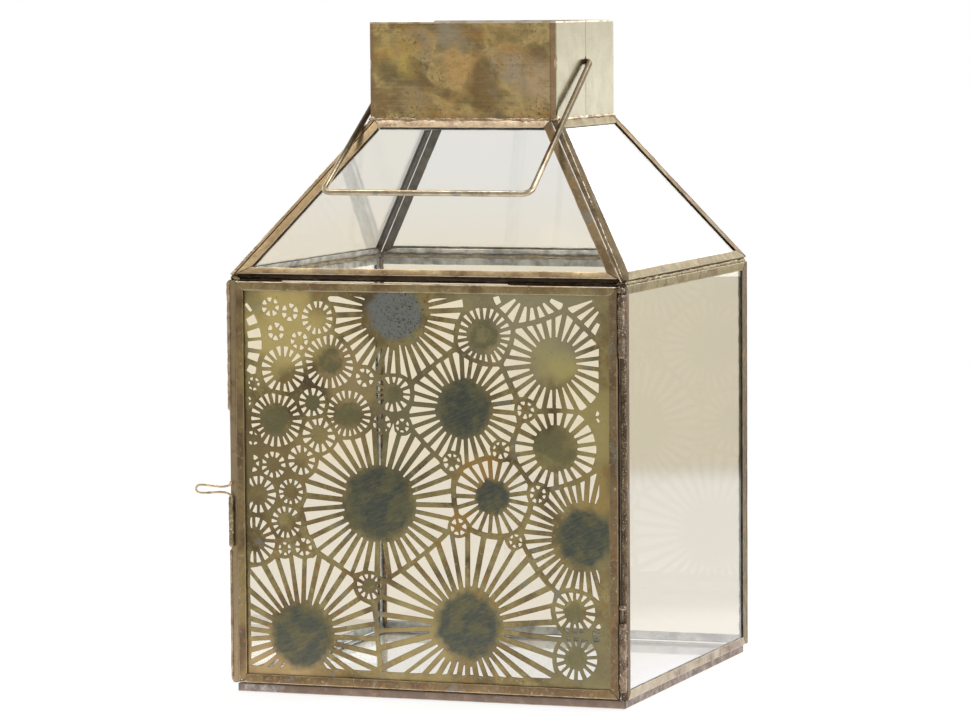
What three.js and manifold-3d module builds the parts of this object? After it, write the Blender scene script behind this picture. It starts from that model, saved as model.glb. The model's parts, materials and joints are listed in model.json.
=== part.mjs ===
// A candle lantern of brass and glass: panes held in folded brass cames, a pierced door on the front,
// a hipped glass roof, a square open collar and a wire bail.
// Millimetres, +Z up. The door faces -Y, its hinge is on the +X side and its latch on the -X side.
import * as THREE from 'three';
import { ConvexGeometry } from 'three/addons/geometries/ConvexGeometry.js';
import { mergeVertices } from 'three/addons/utils/BufferGeometryUtils.js';
import Module from 'manifold-3d';

const wasm = await Module();
wasm.setup();

// Overall sizes
const bodyWidth = 165;
const bodyDepth = 165;
const lanternHeight = 264.7;
const baseInset = 1.7;
const roofRise = 59.8;
const collarWidth = 78.5;
const collarDepth = 74.5;
const collarHeight = 38.5;

// Cames and glass: a came is a folded U channel, and its face is the strip seen from the front
const cameSheet = 0.4;
const cameFace = 3.6;
const foldRadius = 0.45;
const paneThickness = 1.6;
const basePaneThickness = 2.0;
const slip = 0.3;
const seat = 0.3;
const mitreGap = 0.3;
const cameDepth = paneThickness + 2 * (slip + cameSheet);
const baseHeight = basePaneThickness + 2 * (slip + cameSheet);

// Roof and collar
const hipGap = 0.2;
const seamFill = 0.5;
const collarLip = 0.3;
const collarSheet = 0.6;
const collarBend = 1.4;
const hemHeight = 2.4;
const hemFold = 0.5;

// Door
const doorProud = 1.6;
const doorSideGap = 0.3;
const doorLift = 0.7;
const doorDrop = 0.5;
const screenSheet = 0.5;
const screenBorder = 2.2;

// Hinge
const barrelRadius = 1.5;
const pinRadius = 0.5;
const pinClearance = 0.35;
const topBarrelLength = 24.4;
const topBarrelDrop = 2.9;
const bottomBarrelLength = 26.7;
const bottomBarrelRise = 3.1;
const beadHeight = 2.4;
const barePin = 4.8;

// Bail
const bailRadius = 1.2;
const bailGap = 0.8;
const bailSplay = 2.0;
const bailArm = 94.3;
const bailHoleHeight = 22.1;
const bailHoleClearance = 0.4;
const bailTail = 1.6;
const bailPivotBend = 1.8;
const bailCorner = 4.2;

// Latch
const latchWire = 0.5;
const latchHeight = 80.8;
const latchInset = 0.9;
const latchReach = 15;
const latchBulge = 1.6;
const latchNeck = 1.1;
const latchNeckAt = 3.4;
const latchEye = 2.7;
const latchTail = 10;
const sleeveClearance = 0.3;
const sleeveWall = 0.3;
const sleeveLength = 20;

// Where things stand, worked out from the sizes above
const slopeFront = Math.atan2(roofRise, (bodyDepth - collarDepth) / 2 - collarLip);
const slopeSide = Math.atan2(roofRise, (bodyWidth - collarWidth) / 2 - collarLip);
const collarBottom = lanternHeight - collarHeight;
const roofTop = collarBottom - seat;
const eaveBottom = roofTop - roofRise - cameDepth * Math.cos(Math.min(slopeFront, slopeSide));
const wallTop = eaveBottom - seat;
const wallBottom = baseHeight + seat;
const wallHeight = wallTop - wallBottom;
const doorBottom = baseHeight + doorLift;
const doorTop = wallTop - doorDrop;
const pivotHeight = collarBottom + bailHoleHeight;
const bailTop = collarWidth / 2 + bailGap + bailRadius;
const bailFoot = bailTop + bailSplay;
const hinge = new THREE.Vector2(bodyWidth / 2 - barrelRadius, -bodyDepth / 2 - seat - barrelRadius);
const sleeveRadius = latchWire + sleeveClearance + sleeveWall;
const latch = new THREE.Vector2(-bodyWidth / 2 + latchInset, -bodyDepth / 2 - seat - sleeveRadius);
const wallClear = bodyWidth / 2 - cameDepth - doorSideGap;
const doorRight = Math.min(wallClear, hinge.x - barrelRadius - seat);
const doorLeft = Math.max(-wallClear, latch.x + sleeveRadius + seat);

// The pierced sheet's rosettes: x from the body's middle, height above the table, the size that it
// holds against its neighbours, its hub's radius and its number of gaps.
const rosettes = [
  { x: -19.5, z: 77, outer: 28, hub: 14, gaps: 35 },
  { x: 17, z: 30, outer: 35, hub: 13, gaps: 34 },
  { x: -52.4, z: 23.5, outer: 29.5, hub: 12.5, gaps: 33 },
  { x: -12.2, z: 152, outer: 24.5, hub: 10.5, gaps: 36 },
  { x: 16.2, z: 115.3, outer: 20, hub: 11, gaps: 30 },
  { x: 53, z: 133.5, outer: 18.5, hub: 9, gaps: 26 },
  { x: 53.6, z: 100.5, outer: 15, hub: 8.5, gaps: 22 },
  { x: 65, z: 66.5, outer: 22, hub: 11, gaps: 36 },
  { x: 27.6, z: 81, outer: 14.3, hub: 6.3, gaps: 21 },
  { x: 24.6, z: 143.5, outer: 10.8, hub: 5.6, gaps: 20 },
  { x: 43.5, z: 163, outer: 14.5, hub: 7.5, gaps: 20 },
  { x: 79, z: 162.5, outer: 20, hub: 8.5, gaps: 24 },
  { x: -92, z: 141, outer: 24.5, hub: 10, gaps: 27 },
  { x: -44.7, z: 149.5, outer: 6.8, hub: 3.2, gaps: 14 },
  { x: -59.3, z: 128.8, outer: 9, hub: 4.2, gaps: 18 },
  { x: -40, z: 132.3, outer: 10.3, hub: 5, gaps: 22 },
  { x: -62.5, z: 109, outer: 10.5, hub: 5, gaps: 22 },
  { x: -47.2, z: 116, outer: 6, hub: 2.7, gaps: 11 },
  { x: -32, z: 111.8, outer: 9.3, hub: 4.8, gaps: 21 },
  { x: -13.3, z: 120.5, outer: 7.2, hub: 2.7, gaps: 15 },
  { x: -44.5, z: 103.5, outer: 7, hub: 2.8, gaps: 13 },
  { x: -52, z: 93.3, outer: 6, hub: 2.7, gaps: 11 },
  { x: -64, z: 91, outer: 5.5, hub: 2.4, gaps: 11 },
  { x: -70.4, z: 79.2, outer: 7.5, hub: 2.8, gaps: 14 },
  { x: -56.6, z: 80.5, outer: 5.4, hub: 2.7, gaps: 12 },
  { x: -58.7, z: 68.5, outer: 6.5, hub: 3, gaps: 14 },
  { x: -72.5, z: 61, outer: 9, hub: 3, gaps: 16 },
  { x: 61, z: 37.5, outer: 8.5, hub: 3.2, gaps: 15 },
  { x: 61.6, z: 19.2, outer: 8.5, hub: 3.3, gaps: 15 },
  { x: -24, z: 44.3, outer: 5.6, hub: 2, gaps: 11 },
  { x: -64.5, z: 153.5, outer: 4.4, hub: 1.3, gaps: 8 },
  { x: -56.3, z: 151.5, outer: 4.2, hub: 1.4, gaps: 8 },
  { x: -62.3, z: 143.8, outer: 4.2, hub: 1.4, gaps: 8 },
  { x: -52.5, z: 140.3, outer: 4.4, hub: 1.3, gaps: 8 },
  { x: -25, z: 126.5, outer: 4.6, hub: 1.4, gaps: 8 },
  { x: -72, z: 123, outer: 3.2, hub: 1.2, gaps: 8 },
  { x: -18, z: 108.5, outer: 4.4, hub: 1.2, gaps: 8 },
  { x: -9.5, z: 107.8, outer: 3.5, hub: 1.2, gaps: 7 },
  { x: 41.5, z: 115.3, outer: 4.3, hub: 1.3, gaps: 8 },
  { x: 31, z: 99.5, outer: 4.4, hub: 1.3, gaps: 8 },
  { x: 11, z: 94.5, outer: 4.4, hub: 1.3, gaps: 8 },
  { x: 46.3, z: 82.5, outer: 4.3, hub: 1.3, gaps: 8 },
  { x: -59.5, z: 57.8, outer: 3.3, hub: 1.1, gaps: 7 },
  { x: -51.5, z: 58.8, outer: 4.3, hub: 1.3, gaps: 8 },
  { x: 13.5, z: 68.8, outer: 4.2, hub: 1.2, gaps: 8 },
  { x: 37, z: 64, outer: 3.5, hub: 1.1, gaps: 7 },
  { x: -75.5, z: 116, outer: 3, hub: 1, gaps: 6 },
  { x: -72.5, z: 101.5, outer: 3.5, hub: 1.1, gaps: 7 },
  { x: -73, z: 91.5, outer: 4.2, hub: 1.2, gaps: 8 },
  { x: 73.5, z: 113.5, outer: 4.5, hub: 1.5, gaps: 8 },
  { x: 73.8, z: 28.5, outer: 5.2, hub: 1.5, gaps: 9 },
];
const rosetteGrowth = 1.16;
const spokeBase = 0.62;
const spokePower = 1 / 3;
const gapLeast = 1.2;
const ringWidth = 1.6;

const brass = { color: 0x8a7350, roughness: 0.5, metalness: 0.85 };
const finishes = {
  came: new THREE.MeshStandardMaterial(brass),
  pierced: new THREE.MeshStandardMaterial({ ...brass, color: 0x7c7148, roughness: 0.55 }),
  collar: new THREE.MeshStandardMaterial({ ...brass, color: 0x94805a, roughness: 0.35 }),
  wire: new THREE.MeshStandardMaterial({ ...brass, color: 0x9a7d56, roughness: 0.35 }),
  solder: new THREE.MeshStandardMaterial({ color: 0x8d857c, roughness: 0.45, metalness: 0.8 }),
  glass: new THREE.MeshStandardMaterial({
    color: 0xe4e6df, roughness: 0.05, metalness: 0, transparent: true, opacity: 0.3,
  }),
};

function piece(name, geometry, finish) {
  const mesh = new THREE.Mesh(geometry, finish);
  mesh.name = name;
  return mesh;
}

// Solids for cutting and joining

function toSolid(geometry) {
  const bare = geometry.index ? geometry.toNonIndexed() : geometry.clone();
  bare.deleteAttribute('normal');
  bare.deleteAttribute('uv');
  const merged = mergeVertices(bare, 1e-4);
  const mesh = new wasm.Mesh({
    numProp: 3,
    vertProperties: new Float32Array(merged.attributes.position.array),
    triVerts: new Uint32Array(merged.index.array),
  });
  return new wasm.Manifold(mesh);
}

function toGeometry(solid) {
  const mesh = solid.getMesh();
  const geometry = new THREE.BufferGeometry();
  geometry.setAttribute('position', new THREE.BufferAttribute(mesh.vertProperties, 3));
  geometry.setIndex(new THREE.BufferAttribute(mesh.triVerts, 1));
  geometry.computeVertexNormals();
  return geometry;
}

// Framed panes

// How far a mitre runs back along a side for each millimetre in from it, at each corner of a polygon.
function mitreSlopes(corners) {
  return corners.map((corner, i) => {
    const back = corners.at(i - 1).clone().sub(corner).normalize();
    const ahead = corners[(i + 1) % corners.length].clone().sub(corner).normalize();
    return 1 / Math.tan(Math.acos(back.dot(ahead)) / 2);
  });
}

// The same polygon with every side moved in by a distance.
function insetPolygon(corners, inset) {
  const slopes = mitreSlopes(corners);
  return corners.map((corner, i) => {
    const along = corners[(i + 1) % corners.length].clone().sub(corner).normalize();
    const inward = new THREE.Vector2(-along.y, along.x);
    return corner.clone().addScaledVector(inward, inset).addScaledVector(along, inset * slopes[i]);
  });
}

// A came's section: x is in from the pane's edge, y is through the pane.
function cameSection(depth) {
  const section = new THREE.Shape();
  section.moveTo(cameFace, 0);
  section.lineTo(cameFace, cameSheet);
  section.lineTo(cameSheet, cameSheet);
  section.lineTo(cameSheet, depth - cameSheet);
  section.lineTo(cameFace, depth - cameSheet);
  section.lineTo(cameFace, depth);
  section.absarc(foldRadius, depth - foldRadius, foldRadius, Math.PI / 2, Math.PI);
  section.absarc(foldRadius, foldRadius, foldRadius, Math.PI, 1.5 * Math.PI);
  return section;
}

// A came run out along z, with each end cut back along the line that halves its corner.
function mitredCame(depth, length, startSlope, endSlope) {
  const options = { depth: length, bevelEnabled: false, curveSegments: 1 };
  const geometry = new THREE.ExtrudeGeometry(cameSection(depth), options);
  const position = geometry.attributes.position;
  const cutBack = (inset, slope) => inset * slope + (mitreGap / 2) * Math.hypot(1, slope);
  for (let i = 0; i < position.count; i += 1) {
    const inset = position.getX(i);
    const far = position.getZ(i) > length / 2;
    position.setZ(i, far ? length - cutBack(inset, endSlope) : cutBack(inset, startSlope));
  }
  geometry.computeVertexNormals();
  return geometry;
}

// The cames round a polygon that lies in the xy plane, named in the polygon's order.
function cameFrame(corners, names, depth) {
  const slopes = mitreSlopes(corners);
  return corners.map((corner, i) => {
    const next = (i + 1) % corners.length;
    const along = corners[next].clone().sub(corner);
    const length = along.length();
    along.normalize();
    const rail = piece(names[i], mitredCame(depth, length, slopes[i], slopes[next]), finishes.came);
    const inward = new THREE.Vector3(-along.y, along.x, 0);
    const through = new THREE.Vector3(0, 0, 1);
    const place = new THREE.Matrix4().makeBasis(inward, through, new THREE.Vector3(along.x, along.y, 0));
    rail.applyMatrix4(place.setPosition(corner.x, corner.y, 0));
    return rail;
  });
}

function plate(corners, thickness) {
  return new THREE.ExtrudeGeometry(new THREE.Shape(corners), { depth: thickness, bevelEnabled: false });
}

// A pane in its four cames. The panel's inner face lies at z = 0 and its outer face at z = depth.
function framedPane(panel, corners, names, glass) {
  const depth = glass + 2 * (slip + cameSheet);
  const group = new THREE.Group();
  group.add(...cameFrame(corners, names.map((name) => `${panel}_${name}`), depth));
  const pane = piece(`${panel}_glass`, plate(insetPolygon(corners, cameSheet + slip), glass), finishes.glass);
  pane.position.z = cameSheet + slip;
  group.add(pane);
  return group;
}

function trapezoid(bottomHalf, topHalf, height) {
  return [
    new THREE.Vector2(-bottomHalf, 0),
    new THREE.Vector2(bottomHalf, 0),
    new THREE.Vector2(topHalf, height),
    new THREE.Vector2(-topHalf, height),
  ];
}

// Turns a panel drawn flat so that it leans at a slope and faces one of the four sides.
function facing(panel, turn, shift, out, height, slope) {
  panel.position.set(shift, -out, height);
  panel.rotation.x = slope;
  const side = new THREE.Group();
  side.rotation.z = turn;
  side.add(panel);
  return side;
}

const quarter = Math.PI / 2;
const turns = { front: 0, right: quarter, back: 2 * quarter, left: -quarter };

function base() {
  const width = bodyWidth / 2 - baseInset;
  const depth = bodyDepth / 2 - baseInset;
  const outline = trapezoid(width, width, 2 * depth);
  const names = ['front_rail', 'right_rail', 'back_rail', 'left_rail'];
  const group = framedPane('base', outline, names, basePaneThickness);
  group.position.y = -depth;
  return group;
}

function walls() {
  const sideHalf = (bodyDepth - cameDepth - seat) / 2;
  const shift = bodyDepth / 2 - sideHalf;
  const side = trapezoid(sideHalf, sideHalf, wallHeight);
  const back = trapezoid(bodyWidth / 2, bodyWidth / 2, wallHeight);
  const stand = (name, outline, names, move, half) => {
    const panel = framedPane(name, outline, names, paneThickness);
    return facing(panel, turns[name], move, half - cameDepth, wallBottom, quarter);
  };
  const rightNames = ['bottom_rail', 'back_stile', 'top_rail', 'front_stile'];
  const leftNames = ['bottom_rail', 'front_stile', 'top_rail', 'back_stile'];
  const backNames = ['bottom_rail', 'left_stile', 'top_rail', 'right_stile'];
  return [
    stand('right', side, rightNames, -shift, bodyWidth / 2),
    stand('left', side, leftNames, shift, bodyWidth / 2),
    stand('back', back, backNames, 0, bodyDepth / 2),
  ];
}

// The roof's inner faces, as half widths at the eave and at the top.
const inner = {
  eaveX: bodyWidth / 2 - cameDepth * Math.sin(slopeSide),
  eaveY: bodyDepth / 2 - cameDepth * Math.sin(slopeFront),
  topX: collarWidth / 2 + collarLip - cameDepth * Math.sin(slopeSide),
  topY: collarDepth / 2 + collarLip - cameDepth * Math.sin(slopeFront),
};

function roofPanel(side) {
  const alongX = side === 'front' || side === 'back';
  const [eave, top] = alongX ? [inner.eaveX, inner.topX] : [inner.eaveY, inner.topY];
  const [out, run] = alongX ? [inner.eaveY, inner.eaveY - inner.topY] : [inner.eaveX, inner.eaveX - inner.topX];
  const length = Math.hypot(run, roofRise);
  const draw = hipGap * Math.hypot(1, (eave - top) / length);
  const outline = trapezoid(eave - draw, top - draw, length);
  const names = ['eave_rail', 'hip_rail_right', 'top_rail', 'hip_rail_left'];
  const panel = framedPane(`roof_${side}`, outline, names, paneThickness);
  return facing(panel, turns[side], 0, out, eaveBottom, alongX ? slopeFront : slopeSide);
}

// The lines that run up a hip, each from the eave to the top, for the corner at signs sx and sy: the
// groove's root, its two outer edges, and the crest of the solder that fills it.
function hipLines(sx, sy) {
  const toSide = new THREE.Vector3(sx * Math.sin(slopeSide), 0, Math.cos(slopeSide));
  const toFront = new THREE.Vector3(0, sy * Math.sin(slopeFront), Math.cos(slopeFront));
  const lines = { root: [], side: [], front: [], crest: [] };
  for (const [x, y, z] of [[inner.eaveX, inner.eaveY, 0], [inner.topX, inner.topY, roofRise]]) {
    const root = new THREE.Vector3(sx * x, sy * y, eaveBottom + z);
    const side = root.clone().addScaledVector(toSide, cameDepth);
    const front = root.clone().addScaledVector(toFront, cameDepth);
    const peak = new THREE.Vector3(side.x, front.y, (side.z + front.z) / 2);
    side.y -= sy * hipGap;
    front.x -= sx * hipGap;
    lines.root.push(root);
    lines.side.push(side);
    lines.front.push(front);
    lines.crest.push(side.clone().lerp(front, 0.5).lerp(peak, seamFill));
  }
  return lines;
}

// Solder in the groove between two roof panels, drawn in towards its crest to stand clear of both.
function hipSeam(name, sx, sy) {
  const { root, side, front, crest } = hipLines(sx, sy);
  const along = crest[1].clone().sub(crest[0]).normalize();
  const reach = [side, front].map((edge) => {
    const square = edge[0].clone().sub(root[0]).cross(along).normalize();
    return Math.abs(crest[0].clone().sub(root[0]).dot(square));
  });
  const share = Math.min(0.9, seat / Math.min(...reach));
  const drawn = (line) => line.map((point, i) => point.clone().lerp(crest[i], share));
  const points = [...crest, ...drawn(root), ...drawn(side), ...drawn(front)];
  return piece(name, new ConvexGeometry(points), finishes.solder);
}

function roof() {
  const panels = ['front', 'right', 'back', 'left'].map(roofPanel);
  const seams = [
    hipSeam('hip_solder_front_left', -1, -1),
    hipSeam('hip_solder_front_right', 1, -1),
    hipSeam('hip_solder_back_right', 1, 1),
    hipSeam('hip_solder_back_left', -1, 1),
  ];
  return [...panels, ...seams];
}

// Half of the collar seen from above: a strip bent to a U, open towards +y, with its seam at y = 0.
function collarStrip(thickness) {
  const halfX = collarWidth / 2;
  const halfY = collarDepth / 2;
  const inset = thickness;
  const bend = collarBend;
  const innerBend = Math.max(0.1, bend - thickness);
  const edge = -mitreGap / 2;
  const strip = new THREE.Shape();
  strip.moveTo(-halfX, edge);
  strip.lineTo(-halfX, -halfY + bend);
  strip.absarc(-halfX + bend, -halfY + bend, bend, Math.PI, 1.5 * Math.PI);
  strip.absarc(halfX - bend, -halfY + bend, bend, 1.5 * Math.PI, 2 * Math.PI);
  strip.lineTo(halfX, edge);
  strip.lineTo(halfX - inset, edge);
  strip.absarc(halfX - inset - innerBend, -halfY + inset + innerBend, innerBend, 0, -0.5 * Math.PI, true);
  strip.absarc(-halfX + inset + innerBend, -halfY + inset + innerBend, innerBend, -0.5 * Math.PI, -Math.PI, true);
  strip.lineTo(-halfX + inset, edge);
  return strip;
}

// One half of the collar: the bent sheet, its hem folded inwards at the top, and half of each bail hole.
function collarHalf(name, turn) {
  const options = (depth) => ({ depth, bevelEnabled: false, curveSegments: 2 });
  const sheet = new THREE.ExtrudeGeometry(collarStrip(collarSheet), options(collarHeight));
  const hem = new THREE.ExtrudeGeometry(collarStrip(collarSheet + hemFold), options(hemHeight));
  hem.translate(0, 0, collarHeight - hemHeight);
  const hole = new THREE.CylinderGeometry(
    bailRadius + bailHoleClearance, bailRadius + bailHoleClearance, collarWidth + 2, 16,
  );
  hole.rotateZ(quarter);
  hole.translate(0, 0, bailHoleHeight);
  const solid = toSolid(sheet).add(toSolid(hem)).subtract(toSolid(hole));
  const half = piece(name, toGeometry(solid), finishes.collar);
  half.rotation.z = turn;
  half.position.z = collarBottom;
  return half;
}

// Bent wires

// A wire's centre line: straight steps from point to point.
class WireLine extends THREE.Curve {
  constructor(points) {
    super();
    this.points = points;
  }

  getPoint(t, target = new THREE.Vector3()) {
    const place = t * (this.points.length - 1);
    const i = Math.min(Math.floor(place), this.points.length - 2);
    return target.lerpVectors(this.points[i], this.points[i + 1], place - i);
  }

  getUtoTmapping(u) {
    return u;
  }
}

function wire(points, radius, sides) {
  const section = new THREE.Shape().absarc(0, 0, radius, 0, 2 * Math.PI);
  const extrudePath = new WireLine(points);
  const steps = points.length - 1;
  return new THREE.ExtrudeGeometry(section, { steps, extrudePath, curveSegments: sides / 2 });
}

// A path with each inner corner bent round; bends gives how far before and after it the bend runs.
function bentPath(corners, bends) {
  const path = [corners[0]];
  for (let i = 1; i < corners.length - 1; i += 1) {
    const corner = corners[i];
    const start = corners[i - 1].clone().sub(corner).setLength(bends[i - 1]).add(corner);
    const end = corners[i + 1].clone().sub(corner).setLength(bends[i - 1]).add(corner);
    path.push(...new THREE.QuadraticBezierCurve3(start, corner, end).getPoints(6));
  }
  path.push(corners.at(-1));
  return path;
}

// How far a bail arm's centre line passes from the lines of a front hip, when it hangs by an angle.
function armToHip(angle) {
  const pivot = new THREE.Vector3(bailTop, 0, pivotHeight);
  const arm = new THREE.Vector3(bailSplay, -bailArm * Math.cos(angle), -bailArm * Math.sin(angle));
  const { side, front, crest } = hipLines(1, -1);
  const gaps = [side, front, crest].map(([low, high]) => {
    const across = new THREE.Vector3().crossVectors(arm, high.clone().sub(low)).normalize();
    return low.clone().sub(pivot).dot(across) * -Math.sign(across.z);
  });
  return Math.min(...gaps);
}

// The angle below level at which the bail's arms lie on the front hips.
function bailRestAngle() {
  let [up, down] = [0, quarter];
  for (let i = 0; i < 40; i += 1) {
    const middle = (up + down) / 2;
    if (armToHip(middle) > bailRadius + seat) {
      up = middle;
    } else {
      down = middle;
    }
  }
  return up;
}

function bail() {
  const tail = collarWidth / 2 - collarSheet - bailTail;
  const corners = [
    new THREE.Vector3(-tail, 0, 0),
    new THREE.Vector3(-bailTop, 0, 0),
    new THREE.Vector3(-bailFoot, -bailArm, 0),
    new THREE.Vector3(bailFoot, -bailArm, 0),
    new THREE.Vector3(bailTop, 0, 0),
    new THREE.Vector3(tail, 0, 0),
  ];
  const path = bentPath(corners, [bailPivotBend, bailCorner, bailCorner, bailPivotBend]);
  const handle = piece('bail_handle', wire(path, bailRadius, 10), finishes.wire);
  handle.position.z = pivotHeight;
  handle.rotation.x = bailRestAngle();
  return handle;
}

// Half of the latch's hairpin, as distance out from its pivot and height from its middle.
function latchSide(sign) {
  const at = (out, up) => new THREE.Vector3(-out, 0, sign * up);
  return [
    at(0, latchEye + 0.6),
    at(0.2, latchEye - 0.4),
    at(latchNeckAt / 3, (latchEye + latchNeck) / 2 - 0.3),
    at(latchNeckAt, latchNeck),
    at((latchNeckAt + latchReach) / 2, (latchNeck + latchBulge) / 2 + 0.1),
    at(latchReach - 1.6 * latchBulge, latchBulge),
    at(latchReach - 0.4 * latchBulge, 0.75 * latchBulge),
  ];
}

function latchLoop() {
  const knots = [
    new THREE.Vector3(0, 0, -latchEye - latchTail),
    ...latchSide(-1),
    new THREE.Vector3(-latchReach, 0, 0),
    ...latchSide(1).reverse(),
  ];
  const path = new THREE.CatmullRomCurve3(knots, false, 'centripetal').getSpacedPoints(56);
  const loop = piece('latch_loop', wire(path, latchWire, 8), finishes.wire);
  loop.position.set(latch.x, latch.y, latchHeight);
  return loop;
}

// Turned pieces

function tube(name, innerRadius, outerRadius, length, finish) {
  const profile = [
    new THREE.Vector2(innerRadius, 0),
    new THREE.Vector2(outerRadius, 0),
    new THREE.Vector2(outerRadius, length),
    new THREE.Vector2(innerRadius, length),
    new THREE.Vector2(innerRadius, 0),
  ];
  const geometry = new THREE.LatheGeometry(profile, 14);
  geometry.rotateX(quarter);
  return piece(name, geometry, finish);
}

function latchSleeve() {
  const sleeve = tube('latch_sleeve', latchWire + sleeveClearance, sleeveRadius, sleeveLength, finishes.wire);
  sleeve.position.set(latch.x, latch.y, latchHeight - latchEye - sleeveLength);
  return sleeve;
}

// A hinge pin with the bead of solder at its top that ties it to the door's edge.
function hingePin(name, bottom, beadBottom) {
  const beadRadius = hinge.x - doorRight - seat;
  const ease = beadHeight / 4;
  const top = beadBottom + beadHeight;
  const profile = [
    new THREE.Vector2(0, bottom),
    new THREE.Vector2(pinRadius, bottom),
    new THREE.Vector2(pinRadius, beadBottom),
    new THREE.Vector2(beadRadius, beadBottom + ease),
    new THREE.Vector2(beadRadius, top - ease),
    new THREE.Vector2(pinRadius, top),
    new THREE.Vector2(0, top),
  ];
  const geometry = new THREE.LatheGeometry(profile, 12);
  geometry.rotateX(quarter);
  const pin = piece(name, geometry, finishes.wire);
  pin.position.set(hinge.x, hinge.y, 0);
  return pin;
}

const topBarrelTop = doorTop - topBarrelDrop;
const topBarrelBottom = topBarrelTop - topBarrelLength;
const bottomBarrelBottom = doorBottom + bottomBarrelRise;
const bottomBarrelTop = bottomBarrelBottom + bottomBarrelLength;

function hingeBarrel(name, bottom, length) {
  const barrel = tube(name, pinRadius + pinClearance, barrelRadius, length, finishes.solder);
  barrel.position.set(hinge.x, hinge.y, bottom);
  return barrel;
}

// Door

// How far a ray from a rosette's middle runs before the line on which its distance and a neighbour's,
// each divided by its rosette's size, are equal, less half a ring measured square to that line.
function reachBeside(rosette, direction, other) {
  const offset = new THREE.Vector2(other.x - rosette.x, other.z - rosette.z);
  const tilt = rosette.outer ** 2 * offset.dot(direction);
  const bulk = rosette.outer ** 2 * offset.lengthSq();
  const total = tilt + Math.sqrt(Math.max(0, tilt ** 2 + (other.outer ** 2 - rosette.outer ** 2) * bulk));
  if (total <= 0 || tilt ** 2 + (other.outer ** 2 - rosette.outer ** 2) * bulk <= 0) {
    return Infinity;
  }
  const run = bulk / total;
  const fromOther = direction.clone().multiplyScalar(run).sub(offset).setLength(1 / other.outer);
  const slope = direction.clone().divideScalar(rosette.outer).sub(fromOther);
  return run - (ringWidth / 2) * (slope.length() / slope.dot(direction));
}

// The stretch of a ray from a rosette's middle that a gap may take: inside the border and its own cell.
function gapSpan(rosette, angle, field) {
  const direction = new THREE.Vector2(Math.cos(angle), Math.sin(angle));
  let [near, far] = [rosette.hub, rosette.outer * rosetteGrowth];
  const centre = new THREE.Vector2(rosette.x, rosette.z);
  for (const axis of ['x', 'y']) {
    const along = direction[axis] || 1e-9;
    const crossings = [(field.min[axis] - centre[axis]) / along, (field.max[axis] - centre[axis]) / along];
    near = Math.max(near, Math.min(...crossings));
    far = Math.min(far, Math.max(...crossings));
  }
  const beside = rosettes.filter((other) => other !== rosette);
  return [near, Math.min(far, ...beside.map((other) => reachBeside(rosette, direction, other)))];
}

// One gap between two spokes of even width: a wedge with its tip at the hub.
function gapOutline(rosette, angle) {
  const half = Math.PI / rosette.gaps;
  const spoke = spokeBase * rosette.outer ** spokePower;
  const wide = half - Math.asin(spoke / 2 / rosette.outer);
  return (field) => {
    const near = Math.max(gapSpan(rosette, angle, field)[0], spoke / 2 / Math.sin(half));
    const ends = [-wide, wide].map((turn) => gapSpan(rosette, angle + turn, field)[1]);
    if (Math.min(...ends) - near < gapLeast) {
      return null;
    }
    const at = (reach, turn) => new THREE.Vector2(
      rosette.x + reach * Math.cos(angle + turn), rosette.z + reach * Math.sin(angle + turn),
    );
    return [at(near, 0), at(ends[0], -wide), at(ends[1], wide)];
  };
}

function rosetteGaps(rosette, field) {
  const step = (2 * Math.PI) / rosette.gaps;
  const angles = Array.from({ length: rosette.gaps }, (_, i) => (i + 0.5) * step);
  return angles.map((angle) => gapOutline(rosette, angle)(field)).filter(Boolean);
}

function piercedScreen(outline) {
  const edge = insetPolygon(outline, cameFace + screenBorder);
  const field = new THREE.Box2(edge[0], edge[2]);
  const gaps = rosettes.flatMap((rosette) => rosetteGaps(rosette, field));
  const cutters = gaps.map((gap) => {
    const cutter = plate(gap, 3 * screenSheet);
    cutter.translate(0, 0, -screenSheet);
    return toSolid(cutter);
  });
  const sheet = toSolid(plate(insetPolygon(outline, cameSheet + slip), screenSheet));
  const screen = piece('door_screen', toGeometry(wasm.Manifold.difference([sheet, ...cutters])), finishes.pierced);
  screen.position.z = (cameDepth - screenSheet) / 2;
  return screen;
}

// The door stands in the body's own x and z, with its inner face behind the walls' front ends.
function door() {
  const outline = [
    new THREE.Vector2(doorLeft, doorBottom),
    new THREE.Vector2(doorRight, doorBottom),
    new THREE.Vector2(doorRight, doorTop),
    new THREE.Vector2(doorLeft, doorTop),
  ];
  const names = ['door_bottom_rail', 'door_hinge_stile', 'door_top_rail', 'door_latch_stile'];
  const leaf = new THREE.Group();
  leaf.add(...cameFrame(outline, names, cameDepth), piercedScreen(outline));
  const pins = [
    hingePin('hinge_pin_top', topBarrelBottom + seat, topBarrelTop + seat),
    hingePin('hinge_pin_bottom', bottomBarrelBottom + seat, bottomBarrelTop + barePin),
  ];
  return [facing(leaf, turns.front, 0, bodyDepth / 2 + doorProud - cameDepth, 0, quarter), ...pins];
}

const lantern = new THREE.Group();
lantern.add(base(), ...walls(), ...roof());
lantern.add(collarHalf('collar_front', 0), collarHalf('collar_back', 2 * quarter), bail());
lantern.add(...door());
lantern.add(hingeBarrel('hinge_barrel_top', topBarrelBottom, topBarrelLength));
lantern.add(hingeBarrel('hinge_barrel_bottom', bottomBarrelBottom, bottomBarrelLength));
lantern.add(latchLoop(), latchSleeve());

// The origin is the middle of the whole outline on the table, so the latch and hinge shift the body.
const latchStandOff = latchReach + latchWire - latchInset;
const hingeStandOff = -bodyDepth / 2 - (hinge.y - barrelRadius);
lantern.position.set(latchStandOff / 2, hingeStandOff / 2, 0);

export default lantern;
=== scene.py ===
"""A candle lantern of glass and aged brass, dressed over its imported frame.

Blender metres, +Z up, in the frame's own axes. The pierced door faces -Y, with its hinge on the +X side and
its latch on the -X side. Sizes are in millimetres and are turned into metres by MM.
"""

from __future__ import annotations

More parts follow.
